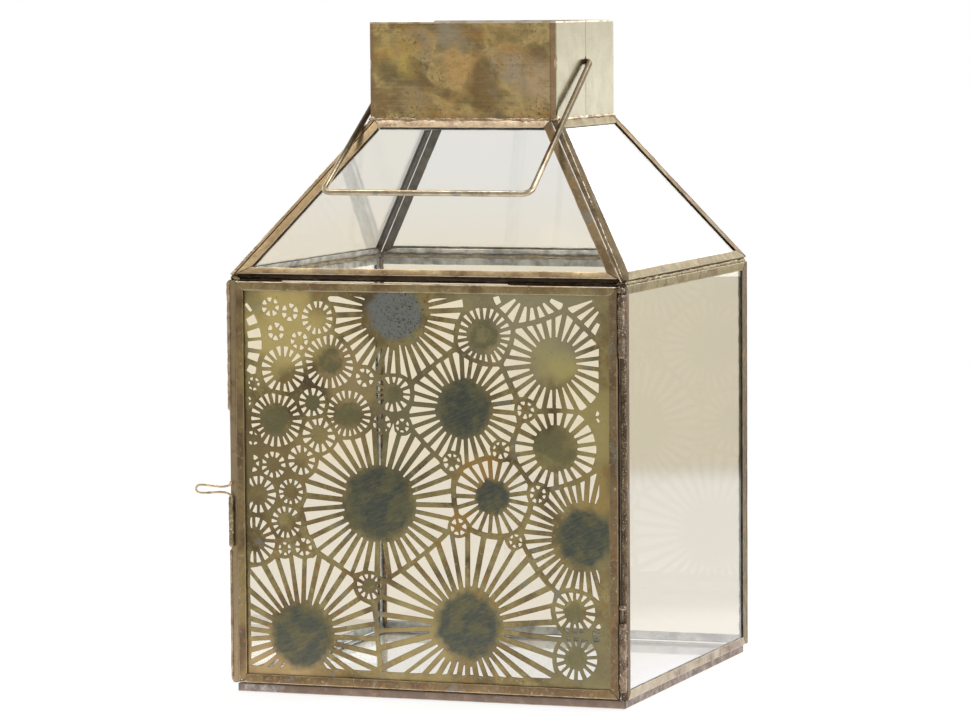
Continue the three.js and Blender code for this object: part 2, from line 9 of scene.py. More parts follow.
import json
import logging
import math
import zlib
from contextlib import contextmanager
from dataclasses import dataclass
from enum import Enum
from typing import Any, Iterator, Sequence

import bmesh
import bpy
import numpy as np
from mathutils import Matrix, Vector

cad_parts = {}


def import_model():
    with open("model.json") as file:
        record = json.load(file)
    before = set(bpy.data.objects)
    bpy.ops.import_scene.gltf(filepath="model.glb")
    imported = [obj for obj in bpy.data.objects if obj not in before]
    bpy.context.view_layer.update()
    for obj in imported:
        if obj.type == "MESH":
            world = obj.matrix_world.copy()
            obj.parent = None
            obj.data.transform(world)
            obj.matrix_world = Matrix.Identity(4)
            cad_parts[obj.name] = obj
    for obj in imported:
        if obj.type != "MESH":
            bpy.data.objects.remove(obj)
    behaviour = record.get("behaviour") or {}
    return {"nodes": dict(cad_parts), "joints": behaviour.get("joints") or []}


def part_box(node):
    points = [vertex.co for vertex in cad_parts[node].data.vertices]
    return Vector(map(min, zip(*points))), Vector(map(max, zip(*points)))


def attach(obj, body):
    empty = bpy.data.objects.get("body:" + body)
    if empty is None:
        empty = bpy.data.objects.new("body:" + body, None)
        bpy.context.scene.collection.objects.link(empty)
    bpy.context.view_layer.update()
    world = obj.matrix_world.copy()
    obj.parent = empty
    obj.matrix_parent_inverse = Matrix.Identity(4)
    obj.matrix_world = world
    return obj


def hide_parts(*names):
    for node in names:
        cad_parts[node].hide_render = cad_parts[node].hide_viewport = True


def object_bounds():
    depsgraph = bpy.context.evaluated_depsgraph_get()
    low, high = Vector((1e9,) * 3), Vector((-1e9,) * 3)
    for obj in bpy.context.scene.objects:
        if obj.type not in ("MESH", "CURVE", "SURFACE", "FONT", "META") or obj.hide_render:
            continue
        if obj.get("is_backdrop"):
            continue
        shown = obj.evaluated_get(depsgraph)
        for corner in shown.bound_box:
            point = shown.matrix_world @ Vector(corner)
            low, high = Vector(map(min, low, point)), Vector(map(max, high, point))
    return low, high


MM = 0.001
log = logging.getLogger("lantern")

Array = np.ndarray
Span = tuple[float, float]
Triple = tuple[float, float, float]
Colour = Triple
Skin = tuple[Array, list[list[int]]]
Socket = bpy.types.NodeSocket

# Filled in by main(): what the frame holds, its box, and the body's middle on the table and in the air.
FRAME: dict[str, Any]
BOX: Array
CENTRE: Array
MIDDLE: Array


class Body(Enum):
    """The bodies that pieces ride on."""

    LANTERN = "lantern"
    DOOR = "door"
    BAIL = "bail"
    LATCH = "latch"


class Stain(Enum):
    """How dark the patina stands on a rosette's hub."""

    BARE = 0
    OLIVE = 1
    SLATE = 2
    BLUE = 3


# Shapes as arrays


def seed_of(name: str) -> int:
    """A fixed random seed for a name."""
    return zlib.crc32(name.encode())


def ripple(points: Array, size: float, seed: int, waves: int = 24, spread: Span = (0.7, 1.5)) -> Array:
    """A smooth random field: the tanh of a sum of plane waves, over the root of their number.

    Args:
        points: Places in metres, shape (..., 3).
        size: The field's wavelength in millimetres.
        seed: Picks the waves.
        waves: How many waves are summed.
        spread: How many times the wanted wave number a wave's own may be.

    Returns:
        Values between -1 and 1, shape (...).
    """
    rng = np.random.default_rng(seed)
    ways = rng.normal(size=(waves, 3))
    ways /= np.linalg.norm(ways, axis=1, keepdims=True)
    ways *= rng.uniform(*spread, (waves, 1)) * 2 * math.pi / (size * MM)
    phases = rng.uniform(0, 2 * math.pi, waves)
    return np.tanh(np.cos(points @ ways.T + phases).sum(-1) / math.sqrt(waves))


def skin(rows: Array, closed: bool = False) -> Skin:
    """Joins rows of points, each row a closed loop, into one skin.

    Args:
        rows: Shape (rows, points in a row, 3).
        closed: True if the last row meets the first; otherwise each end is shut by a flat face.

    Returns:
        The points, shape (n, 3), and the faces as lists of point numbers.
    """
    count, loop = rows.shape[:2]
    row = np.arange(count if closed else count - 1)[:, None] * loop
    here = np.arange(loop)[None, :]
    ahead = (here + 1) % loop
    above = (row + loop) % (count * loop)
    faces = np.stack([row + here, row + ahead, above + ahead, above + here], axis=-1).reshape(-1, 4).tolist()
    if not closed:
        faces += [list(range(loop)), list(range((count - 1) * loop, count * loop))]
    return rows.reshape(-1, 3), faces


def unit(vector: Array) -> Array:
    """The vector at length one."""
    return vector / np.linalg.norm(vector)


def circle(sides: int) -> Array:
    """Even angles round a circle, shape (sides,)."""
    return np.linspace(0, 2 * math.pi, sides, endpoint=False)


def box(node: str) -> Array:
    """A frame node's lowest and highest corners in metres, shape (2, 3)."""
    return np.array([tuple(corner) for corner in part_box(node)])


def spot(x: float, y: float, z: float) -> Array:
    """A place given in millimetres from the body's own middle on the table, in the frame's metres."""
    return np.array([x * MM + CENTRE[0], y * MM + CENTRE[1], z * MM])


def node_points(name: str) -> Array:
    """Reads the points of a frame node.

    Args:
        name: The node's name.

    Returns:
        The points in metres, shape (n, 3).
    """
    mesh = FRAME["nodes"][name].data
    flat = np.empty(3 * len(mesh.vertices))
    mesh.vertices.foreach_get("co", flat)
    return flat.reshape(-1, 3)


def put(name: str, data: bpy.types.ID) -> bpy.types.Object:
    """Puts new data in the scene.

    Args:
        name: The object's name.
        data: Its mesh, curve, lamp or camera.

    Returns:
        The new object, at the origin.
    """
    thing = bpy.data.objects.new(name, data)
    bpy.context.scene.collection.objects.link(thing)
    return thing


@contextmanager
def opened(mesh: bpy.types.Mesh) -> Iterator[bmesh.types.BMesh]:
    """Opens a mesh for bmesh's operators and writes it back at the end.

    Args:
        mesh: The mesh to change.

    Yields:
        Its open form.
    """
    work = bmesh.new()
    work.from_mesh(mesh)
    yield work
    work.to_mesh(mesh)
    work.free()


def finish_mesh(mesh: bpy.types.Mesh, crease: float = 40) -> None:
    """Turns a mesh's faces outwards and shades it smooth.

    Args:
        mesh: The mesh.
        crease: The angle in degrees past which an edge stays sharp.
    """
    with opened(mesh) as work:
        bmesh.ops.recalc_face_normals(work, faces=work.faces)
    mesh.shade_smooth()
    mesh.set_sharp_from_angle(angle=math.radians(crease))


def place_piece(
    mesh: bpy.types.Mesh, name: str, finish: Finish, body: Body, stands_for: Sequence[str] = ()
) -> bpy.types.Object:
    """Makes a finished mesh a piece of the object.

    Args:
        mesh: Its mesh, in place.
        name: The piece's name.
        finish: What it is made of.
        body: What it moves with.
        stands_for: The frame nodes that it replaces.

    Returns:
        The piece's object.
    """
    piece = put(name, mesh)
    mesh.materials.clear()
    mesh.materials.append(finish.material())
    if stands_for:
        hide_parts(*stands_for)
    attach(piece, body.value)
    log.info("%s: %d points on %s", name, len(mesh.vertices), body.value)
    return piece


def make_piece(
    name: str,
    skins: Sequence[Skin],
    finish: Finish,
    body: Body,
    stands_for: Sequence[str] = (),
    marks: Array | None = None,
) -> bpy.types.Object:
    """Makes one piece of the object from closed skins, kept inside the frame's box.

    Args:
        name: The piece's name.
        skins: Points and faces of each closed skin, in metres.
        finish: What it is made of.
        body: What it moves with.
        stands_for: The frame nodes that it replaces.
        marks: Wear, inside and web shares for each point, shape (n, 3), which the finishes read. The wear share
        also places painted highlights on the folds, and the web share painted shade as well as scorching.

    Returns:
        The piece's object.
    """
    points = np.clip(np.concatenate([s[0] for s in skins]), *BOX)
    starts = np.cumsum([0] + [len(s[0]) for s in skins])
    faces = [[i + start for i in face] for s, start in zip(skins, starts) for face in s[1]]
    mesh = bpy.data.meshes.new(name)
    mesh.from_pydata(points.tolist(), [], faces)
    finish_mesh(mesh)
    if marks is not None:
        layer = mesh.attributes.new("marks", "FLOAT_VECTOR", "POINT")
        layer.data.foreach_set("vector", marks.astype(np.float32).ravel())
    return place_piece(mesh, name, finish, body, stands_for)


# Finishes


class Tree:
    """Builds a material's or the world's nodes by short calls, most of which return a socket."""

    def __init__(self, tree: bpy.types.NodeTree) -> None:
        """Starts on an emptied tree."""
        self.tree = tree
        tree.nodes.clear()

    def node(self, kind: str, inputs: dict[int | str, object] | None = None, **settings: object) -> bpy.types.Node:
        """Adds a node.

        Args:
            kind: The node's type.
            inputs: For each input, by number or name, the socket to link or the value to set.
            **settings: Its other settings by name.

        Returns:
            The node.
        """
        node = self.tree.nodes.new(kind)
        for key, value in settings.items():
            setattr(node, key, value)
        for key, value in (inputs or {}).items():
            socket = node.inputs[key]
            if isinstance(value, Socket):
                self.tree.links.new(value, socket)
            else:
                socket.default_value = (*value, 1.0) if socket.type == "RGBA" else value
        return node

    def place(self, stretch: Triple = (1, 1, 1), turn: float = 0) -> Socket:
        """The object's own coordinates in millimetres, turned about Y and then stretched."""
        inputs = {0: self.node("ShaderNodeTexCoord").outputs["Object"], 2: (0, turn, 0), 3: [MM / s for s in stretch]}
        return self.node("ShaderNodeMapping", inputs, vector_type="TEXTURE").outputs[0]

    def noise(self, where: Socket, size: float, detail: float = 4, rough: float = 0.65, twist: float = 0) -> Socket:
        """Noise of 0 to 1 with features of a size in millimetres."""
        inputs = {"Vector": where, "Scale": 1 / size, "Detail": detail, "Roughness": rough, "Distortion": twist}
        return self.node("ShaderNodeTexNoise", inputs).outputs[0]

    def span(self, value: Socket, low: float, high: float, to_low: float = 0, to_high: float = 1) -> Socket:
        """Maps low to high onto another stretch, with soft ends."""
        inputs = {0: value, 1: low, 2: high, 3: to_low, 4: to_high}
        return self.node("ShaderNodeMapRange", inputs, interpolation_type="SMOOTHSTEP").outputs[0]

    def sum(self, how: str, first: object, second: object = 0.0) -> Socket:
        """A sum of two numbers, by the name of the operation."""
        return self.node("ShaderNodeMath", {0: first, 1: second}, operation=how).outputs[0]

    def times(self, first: object, second: object) -> Socket:
        """The product of two numbers."""
        return self.sum("MULTIPLY", first, second)

    def vector(self, how: str, first: object, second: object = (0, 0, 0), scale: float = 1) -> bpy.types.Node:
        """A node that sums vectors, by the name of the operation."""
        return self.node("ShaderNodeVectorMath", {0: first, 1: second, 3: scale}, operation=how)

    def part(self, vector: Socket, axis: int) -> Socket:
        """One part of a vector: 0 for X, 1 for Y or 2 for Z."""
        return self.node("ShaderNodeSeparateXYZ", {0: vector}).outputs[axis]

    def mark(self, kind: int) -> Socket:
        """One of the piece's marks, for pieces that have them: 0 wear, which also places painted highlights, 1 inside
        or 2 web, which takes scorching and painted shade.
        """
        return self.part(self.node("ShaderNodeAttribute", attribute_name="marks").outputs["Vector"], kind)

    def blend(self, share: object, first: object, second: object) -> Socket:
        """Two colours blended by a share, from 0 for the first to 1 for the second."""
        inputs = {0: share, 6: first, 7: second}
        return self.node("ShaderNodeMix", inputs, data_type="RGBA", clamp_factor=True).outputs[2]

    def laid(self, colour: object, top: object, field: Socket, low: float, high: float, share: float) -> Socket:
        """A colour with another on top, from none of it where a field is low to a share of it where it is high."""
        return self.blend(self.span(field, low, high, 0, share), colour, top)

    def ramp(self, share: Socket, *stops: tuple[float, Colour]) -> Socket:
        """Looks a colour up between stops.

        Args:
            share: Where to look, from 0 to 1.
            stops: Places and their colours, in order.

        Returns:
            The colour.
        """
        node = self.node("ShaderNodeValToRGB", {0: share})
        marks = node.color_ramp.elements
        while len(marks) < len(stops):
            marks.new(0.5)
        for mark, (position, colour) in zip(marks, stops):
            mark.position = position
            mark.color = (*colour, 1)
        return node.outputs[0]

    def bump(self, *heights: tuple[Socket, float]) -> Socket:
        """Stacks bumps.

        Args:
            heights: Fields of 0 to 1, each with its depth in millimetres.

        Returns:
            The normal.
        """
        under = {}
        for height, depth in heights:
            bump = self.node("ShaderNodeBump", {"Distance": depth * MM, "Height": height, **under})
            under = {"Normal": bump.outputs[0]}
        return bump.outputs[0]

    def surface(self, **sockets: object) -> Socket:
        """The surface's shader from its sockets by name; an underscore stands for a space."""
        inputs = {key.replace("_", " "): value for key, value in sockets.items()}
        return self.node("ShaderNodeBsdfPrincipled", inputs).outputs[0]

    def end(self, shader: Socket, kind: str = "ShaderNodeOutputMaterial") -> None:
        """Ends the tree."""
        self.node(kind, {"Surface": shader})


def new_tree(owner: bpy.types.Material | bpy.types.World) -> Tree:
    """The emptied node tree of a material or a world."""
    owner.use_nodes = True
    return Tree(owner.node_tree)


@dataclass(frozen=True)
class Finish:
    """A finish by name, whose material is built once.

    No finish has a record slot's name, because the frame's own materials have those.
    """

    name: str
    slot: str

    def material(self) -> bpy.types.Material:
        """Finds or builds the finish's material.

        Returns:
            The material.
        """
        material = bpy.data.materials.get(self.name)
        if material is None:
            material = bpy.data.materials.new(self.name)
            tree = new_tree(material)
            tree.end(self.shader(tree))
        return material

    def shader(self, tree: Tree) -> Socket:
        """The material's shader."""
        raise NotImplementedError


@dataclass(frozen=True)
class Brass(Finish):
    """Aged brass: clouds of gold, brown and umber, blooms of rust, fine specks, and bright edges that are partly
    wear and partly painted highlight.

    Sizes are in millimetres. Shine and dull are the least and greatest roughness, grain the depth of the fine
    bump, tin how much shows inside, and shade_and_burn the least darkening of the webs, partly scorching and partly
    painted shade. The zones are broad casts of colour: X, height, size and colour.
    """

    gold: Colour = (0.42, 0.305, 0.13)
    brown: Colour = (0.315, 0.215, 0.10)
    umber: Colour = (0.20, 0.13, 0.07)
    bloom: Colour = (0.38, 0.215, 0.095)
    ash: Colour = (0.28, 0.265, 0.225)
    fleck: Colour = (0.74, 0.58, 0.40)
    rubbed_and_lit: Colour = (0.62, 0.47, 0.27)
    tinned: Colour = (0.76, 0.78, 0.75)
    scorch_and_shade: Colour = (0.13, 0.085, 0.06)
    cloud: float = 22
    flecked: float = 0.7
    metal: float = 0.93
    shine: float = 0.33
    dull: float = 0.5
    grain: float = 0.02
    tin: float = 1.0
    tin_dark: float = 0.4
    lacquer: float = 0.06
    lacquer_rough: float = 0.12
    shade_and_burn: float = 0.35
    specular: float = 0.5
    zones: tuple[tuple[float, float, float, Colour], ...] = ()

    def wandering(self, tree: Tree, where: Socket, size: float, far: float) -> Socket:
        """Pushes places about, to make what is laid on them ragged.

        Args:
            tree: Where the nodes go.
            where: Places in millimetres.
            size: The size of the noise that pushes them.
            far: Twice the furthest push.

        Returns:
            The pushed places, laid flat in the door's plane.
        """
        push = tree.node("ShaderNodeTexNoise", {"Vector": where, "Scale": 1 / size}).outputs["Color"]
        off = tree.vector("SCALE", tree.vector("SUBTRACT", push, (0.5, 0.5, 0.5)).outputs[0], scale=far)
        return tree.vector("MULTIPLY", tree.vector("ADD", where, off.outputs[0]).outputs[0], (1, 0, 1)).outputs[0]

    def near(self, tree: Tree, flat: Socket, x: float, z: float, inner: float, outer: float) -> Socket:
        """1 within the inner distance of a place in the door's plane, falling to 0 at the outer one."""
        away = tree.vector("DISTANCE", flat, (x, 0, z)).outputs["Value"]
        return tree.span(away, inner, outer, 1, 0)

    def zoned(self, tree: Tree, flat: Socket, colour: Socket, share: float) -> Socket:
        """Lays each zone's colour, in full within 0.3 of its size and fading out at 1.2.

        Args:
            tree: Where the nodes go.
            flat: Places in the door's plane.
            colour: The colour below.
            share: How much of the zones' colours shows.

        Returns:
            The colour with the zones on it.
        """
        for x, z, radius, zone in self.zones:
            near = self.near(tree, flat, x, z, radius * 0.3, radius * 1.2)
            colour = tree.blend(tree.times(near, share), colour, zone)
        return colour

    def clouds(self, tree: Tree, where: Socket) -> Socket:
        """Mixes the patina before its wear.

        Args:
            tree: Where the nodes go.
            where: Places in millimetres.

        Returns:
            The patina's colour.
        """
        broad = tree.noise(where, self.cloud, rough=0.6, twist=0.8)
        rust = tree.noise(where, self.cloud * 0.35, rough=0.7, twist=1.2)
        grey = tree.noise(tree.place(turn=1.1), self.cloud * 0.5)
        pits = tree.noise(where, 1.3, rough=0.75)
        flecks = tree.noise(tree.place((1.3, 1.3, 1.3), 0.6), 2.1, rough=0.75)
        colour = tree.ramp(broad, (0.34, self.umber), (0.46, self.brown), (0.58, self.gold), (0.7, self.brown))
        colour = tree.laid(colour, self.bloom, rust, 0.54, 0.66, 0.75)
        colour = tree.laid(colour, self.ash, grey, 0.58, 0.68, 0.7)
        colour = tree.laid(colour, self.umber, pits, 0.57, 0.67, 0.65)
        return tree.laid(colour, self.fleck, flecks, 0.56, 0.68, self.flecked)

    def wear(self, tree: Tree, where: Socket, colour: Socket) -> Socket:
        """Darkens the folded webs, partly scorching and partly painted shade, brightens the edges, partly wear and
        partly painted highlight, and lays tin on the faces that look inwards.

        Args:
            tree: Where the nodes go.
            where: Places in millimetres.
            colour: The patina's colour.

        Returns:
            The worn colour.
        """
        # The webs darken: partly scorching, partly painted shade where they turn away from the light.
        shade_and_burn = tree.span(tree.noise(where, 4, rough=0.7), 0.35, 0.6, self.shade_and_burn, 0.97)
        colour = tree.blend(tree.times(tree.mark(2), shade_and_burn), colour, self.scorch_and_shade)
        # The edges brighten: partly wear, partly a painted highlight where the folds catch the light.
        patchy = tree.span(tree.noise(where, 5), 0.32, 0.56, 0.25, 1)
        rubbed_and_lit = tree.times(tree.span(tree.mark(0), 0.3, 1.0), patchy)
        colour = tree.blend(tree.times(rubbed_and_lit, 0.9), colour, self.rubbed_and_lit)
        dull_tin = tuple(self.tin_dark * part for part in self.tinned)
        tin = tree.ramp(tree.noise(where, 7), (0.35, dull_tin), (0.6, self.tinned))
        return tree.blend(tree.times(tree.span(tree.mark(1), 0.3, 0.8), self.tin), colour, tin)

    def shader(self, tree: Tree) -> Socket:
        """Builds the shader: rougher and smoother blotches, shallow dents and a fine grain.

        Args:
            tree: Where the nodes go.

        Returns:
            The shader.
        """
        where = tree.place()
        blotch = tree.noise(where, 9, 3, 0.6)
        dents = tree.noise(where, 3.2, 2, 0.5)
        fine = tree.noise(where, 0.7, 3, 0.6)
        return tree.surface(
            Base_Color=self.wear(tree, where, self.clouds(tree, where)),
            Metallic=self.metal,
            Roughness=tree.span(blotch, 0.3, 0.7, self.shine, self.dull),
            Specular_IOR_Level=self.specular,
            Coat_Weight=self.lacquer,
            Coat_Roughness=self.lacquer_rough,
            Normal=tree.bump((blotch, 3 * self.grain), (dents, 5 * self.grain), (fine, self.grain)),
        )


@dataclass(frozen=True)
class SplashedBrass(Brass):
    """Aged brass with splashes of tin at known places."""

    def clouds(self, tree: Tree, where: Socket) -> Socket:
        """The patina's colour under the splashes."""
        return self.zoned(tree, self.wandering(tree, where, 3, 7), super().clouds(tree, where), 0.8)


@dataclass(frozen=True)
class BrushedBrass(Brass):
    """Brass sheet brushed one way: soft patches, fine level scores, pits, dull bands beside the bends, and a thin
    line of painted shade near the right bend.

    The front runs from left to right in X, with a band at each end, and pits gather within reach of the foot.
    The side beyond the right edge takes one even colour with faint scores.
    """

    olive: Colour = (0.42, 0.32, 0.13)
    seam: Colour = (0.36, 0.225, 0.15)
    side_even: Colour = (0.285, 0.247, 0.134)
    side_scored: Colour = (0.295, 0.257, 0.141)
    foot: float = 226
    reach: float = 12
    left: float = -31.95
    right: float = 46.55
    band: float = 2.4

    def patches(self, tree: Tree, where: Socket) -> Socket:
        """Mixes the soft patches, streaked along the level.

        Args:
            tree: Where the nodes go.
            where: Places in millimetres.

        Returns:
            Their colour.
        """
        broad = tree.noise(tree.place((0.75, 1, 1.1), 0.3), self.cloud * 0.45, 3, 0.6, 0.4)
        rust = tree.noise(tree.place((0.7, 1, 1), 0.4), self.cloud * 0.42, 5, 0.7)
        grey = tree.noise(tree.place((0.6, 1, 1.2), 1.2), self.cloud * 0.35, 5, 0.7)
        mottle = tree.noise(tree.place((0.7, 1, 1.2)), 3.4, rough=0.75)
        colour = tree.ramp(broad, (0.36, self.brown), (0.45, self.olive), (0.54, self.gold), (0.66, self.olive))
        colour = self.zoned(tree, self.wandering(tree, where, 9, 15), colour, 0.85)
        colour = tree.laid(colour, self.bloom, rust, 0.46, 0.72, 0.75)
        colour = tree.laid(colour, self.ash, grey, 0.5, 0.74, 0.75)
        colour = tree.laid(colour, self.brown, mottle, 0.5, 0.3, 0.4)
        return tree.laid(colour, self.gold, mottle, 0.52, 0.72, 0.3)

    def clouds(self, tree: Tree, where: Socket) -> Socket:
        """Scores and pits the patches, and lays the bands, a line of painted shade near the right bend, and the
        side's even colour.

        Args:
            tree: Where the nodes go.
            where: Places in millimetres.

        Returns:
            The patina's colour.
        """
        x, z = tree.part(where, 0), tree.part(where, 2)
        scores = tree.noise(tree.place((0.03, 0.03, 1.9)), 1, rough=0.75)
        colour = tree.laid(self.patches(tree, where), self.fleck, scores, 0.5, 0.75, 0.35)
        colour = tree.laid(colour, self.umber, scores, 0.45, 0.3, 0.35)
        low = tree.span(z, self.foot, self.foot + self.reach, 0.06, 0)
        thick = tree.span(tree.noise(where, 14, 2, 0.5), 0.4, 0.65, -0.03, 0.04)
        pits = tree.sum("ADD", tree.noise(where, 0.8, 3, 0.7), tree.sum("ADD", low, thick))
        colour = tree.laid(colour, self.umber, pits, 0.6, 0.68, 0.75)
        start, end = self.left + self.band, self.right - self.band
        bands = tree.sum("MAXIMUM", tree.span(x, start, self.left + 0.4 * self.band), tree.span(x, end, end + 0.3))
        colour = tree.blend(tree.times(bands, 0.6), colour, self.seam)
        # Painted shade: a thin dark line near the right bend.
        line = tree.times(tree.span(x, end - 0.35, end), tree.span(x, end + 0.4, end))
        colour = tree.blend(tree.times(line, 0.6), colour, self.umber)
        # The side beyond the right edge takes one even colour.
        side_even = tree.blend(tree.span(scores, 0.3, 0.7), self.side_even, self.side_scored)
        side = tree.span(x, self.right - 0.5, self.right - 0.15)
        return tree.blend(tree.times(side, 0.95), colour, side_even)


@dataclass(frozen=True)
class PiercedBrass(Brass):
    """The door's sheet: olive brass with slate stains on the rosettes' hubs, brushed on the slant.

    The hubs are X, height, radius and stain. The sooty places are X, height, inner and outer size.
    """

    olive: Colour = (0.22, 0.20, 0.095)
    slate: Colour = (0.07, 0.088, 0.082)
    pebble: Colour = (0.13, 0.13, 0.095)
    blue: Colour = (0.27, 0.285, 0.265)
    speck: Colour = (0.09, 0.055, 0.03)
    cut: Colour = (0.06, 0.04, 0.022)
    brushed: float = math.radians(-24)
    hubs: tuple[tuple[float, float, float, Stain], ...] = ()
    sooty: tuple[tuple[float, float, float, float], ...] = ((-1, 151, 3, 16), (8, 92, 1, 9))

    def stain(self, tree: Tree, flat: Socket, kind: Stain) -> Socket:
        """Covers the hubs of one kind, in full within 0.76 of their radius and fading out at 1.1.

        Args:
            tree: Where the nodes go.
            flat: Places in the door's plane.
            kind: The stain.

        Returns:
            How strongly it covers each place.
        """
        total = None
        for x, z, radius, stain in self.hubs:
            if stain is kind:
                near = self.near(tree, flat, x, z, radius * 0.76, radius * 1.1)
                total = near if total is None else tree.sum("MAXIMUM", total, near)
        return total

    def clouds(self, tree: Tree, where: Socket) -> Socket:
        """Lays the zones, the hubs' stains with their slanting scratches, the specks, and painted shade on cut edges.

        Args:
            tree: Where the nodes go.
            where: Places in millimetres.

        Returns:
            The patina's colour.
        """
        colour = self.zoned(tree, self.wandering(tree, where, 14, 26), super().clouds(tree, where), 0.8)
        ragged = self.wandering(tree, where, 4, 6)
        pebbles = tree.noise(where, 1.1, 3, 0.7)
        scratches = tree.noise(tree.place((0.22, 1, 1.5), self.brushed), 1.0, rough=0.75)
        clouded = tree.span(tree.noise(where, 9), 0.42, 0.62, 0, 0.55)
        slate = tree.blend(
            tree.sum("ADD", tree.span(scratches, 0.4, 0.7, 0, 0.55), clouded), self.slate, self.olive
        )
        slate = tree.laid(slate, self.pebble, pebbles, 0.52, 0.64, 0.45)
        slate = tree.laid(slate, self.umber, pebbles, 0.46, 0.34, 0.5)
        olive = tree.laid(self.olive, self.pebble, pebbles, 0.5, 0.62, 0.4)
        blue = tree.laid(self.blue, self.slate, pebbles, 0.5, 0.64, 0.5)
        patchy = tree.span(tree.noise(where, 6, 3, 0.6), 0.36, 0.56, 0.45, 1)
        mild = tree.times(self.stain(tree, ragged, Stain.OLIVE), patchy)
        colour = tree.blend(tree.times(mild, 0.9), colour, olive)
        colour = tree.blend(tree.times(self.stain(tree, ragged, Stain.SLATE), 0.95), colour, slate)
        colour = tree.blend(tree.times(self.stain(tree, ragged, Stain.BLUE), 0.9), colour, blue)
        soot = tree.sum("MAXIMUM", *(self.near(tree, ragged, *place) for place in self.sooty))
        specks = tree.sum("ADD", tree.noise(where, 1.0, 3, 0.7), tree.times(0.11, soot))
        colour = tree.laid(colour, self.speck, specks, 0.66, 0.72, 0.85)
        # Painted shade: faces that look sideways, the cut edges, are darkened.
        facing = tree.part(tree.node("ShaderNodeTexCoord").outputs["Normal"], 1)
        return tree.blend(tree.span(tree.sum("ABSOLUTE", facing), 0.45, 0.98, 0.85, 0), colour, self.cut)


@dataclass(frozen=True)
class Solder(Finish):
    """Rough solder: dull grey with a purple-brown cast and small bright facets, partly brighter metal and partly
    painted glints.
    """

    pale: Colour = (0.50, 0.45, 0.42)
    middle: Colour = (0.28, 0.21, 0.15)
    dark: Colour = (0.14, 0.10, 0.065)
    glint_facet: Colour = (0.92, 0.84, 0.72)
    glint: float = 0.8
    metal: float = 0.9
    specular: float = 0.5
    rough: Span = (0.5, 0.22)

    def shader(self, tree: Tree) -> Socket:
        """Builds the shader.

        Args:
            tree: Where the nodes go.

        Returns:
            The shader.
        """
        where = tree.place()
        broad = tree.noise(where, 5)
        facets = tree.noise(where, 0.55, 2, 0.6)
        colour = tree.ramp(broad, (0.38, self.dark), (0.5, self.middle), (0.64, self.pale))
        return tree.surface(
            # The bright facets are partly brighter metal and partly painted glints.
            Base_Color=tree.laid(colour, self.glint_facet, facets, 0.58, 0.66, self.glint),
            Metallic=self.metal,
            Roughness=tree.span(facets, 0.35, 0.65, *self.rough),
            Specular_IOR_Level=self.specular,
            Normal=tree.bump((broad, 0.25), (facets, 0.12)),
        )


@dataclass(frozen=True)
class PaneGlass(Finish):
    """Clear window glass, faintly warm, that lets the lamps' light through."""

    tint: Colour = (0.975, 0.97, 0.95)

    def shader(self, tree: Tree) -> Socket:
        """Builds the shader: glass, but see-through to shadow and diffuse rays.

        Args:
            tree: Where the nodes go.

        Returns:
            The shader.
        """
        path = tree.node("ShaderNodeLightPath")
        light = tree.sum("MAXIMUM", path.outputs["Is Shadow Ray"], path.outputs["Is Diffuse Ray"])
        glass = tree.surface(Base_Color=self.tint, Roughness=0.0, IOR=1.5, Transmission_Weight=1.0)
        clear = tree.node("ShaderNodeBsdfTransparent", {0: self.tint}).outputs[0]
        return tree.node("ShaderNodeMixShader", {0: light, 1: glass, 2: clear}).outputs[0]


CAME = Brass("came_brass", "came")
# The bail's wire; its dark web colour is painted shade, laid on the wire's upper part by the bail's marks.
WIRE = Brass(
    "wire_brass", "wire", gold=(0.68, 0.57, 0.40), brown=(0.52, 0.43, 0.29), umber=(0.32, 0.25, 0.16),
    bloom=(0.48, 0.35, 0.22), scorch_and_shade=(0.09, 0.066, 0.036), cloud=14, shine=0.16, dull=0.28, shade_and_burn=0.9,
)
# Collar brass: its bright edge colour along the rim is partly a painted highlight line.
COLLAR = BrushedBrass(
    "collar_brass", "collar", gold=(0.76, 0.56, 0.235), brown=(0.31, 0.20, 0.085), umber=(0.17, 0.10, 0.045),
    bloom=(0.66, 0.37, 0.10), ash=(0.47, 0.39, 0.27), rubbed_and_lit=(1.0, 0.85, 0.68), cloud=30, metal=0.9,
    shine=0.22, dull=0.28, grain=0.005, tin=0.5, lacquer=0.4, zones=(
        (-19, 252, 10, (0.84, 0.63, 0.17)),
        (-23, 245, 7, (0.26, 0.21, 0.10)),
        (1, 260, 9, (0.53, 0.45, 0.31)),
        (7, 246, 10, (0.84, 0.53, 0.20)),
        (16, 243, 7, (0.29, 0.19, 0.08)),
        (17, 235, 9, (0.31, 0.20, 0.07)),
        (28, 248, 8, (0.60, 0.48, 0.34)),
        (39, 240, 10, (0.74, 0.55, 0.34)),
        (-13, 234, 9, (0.53, 0.44, 0.24)),
        (-27, 234, 5, (0.36, 0.23, 0.10)),
    ),
)
SEAT = Brass(
    "seat_brass", "came", gold=(0.85, 0.68, 0.46), brown=(0.68, 0.50, 0.33), umber=(0.30, 0.19, 0.12),
    bloom=(0.62, 0.42, 0.28), fleck=(1.0, 0.86, 0.72), rubbed_and_lit=(1.0, 0.84, 0.62), cloud=9, flecked=0.9, grain=0.035,
)
# Eave brass: its bright edge colour is partly a painted highlight along the top fold, and its dark web colour a
# painted shadow under the eave.
EAVE = Brass(
    "eave_brass", "came", gold=(0.56, 0.43, 0.24), brown=(0.40, 0.28, 0.15), scorch_and_shade=(0.085, 0.055, 0.035),
    rubbed_and_lit=(1.0, 0.86, 0.66), tinned=(0.78, 0.78, 0.74), cloud=16, flecked=0.5, shade_and_burn=0.85,
)
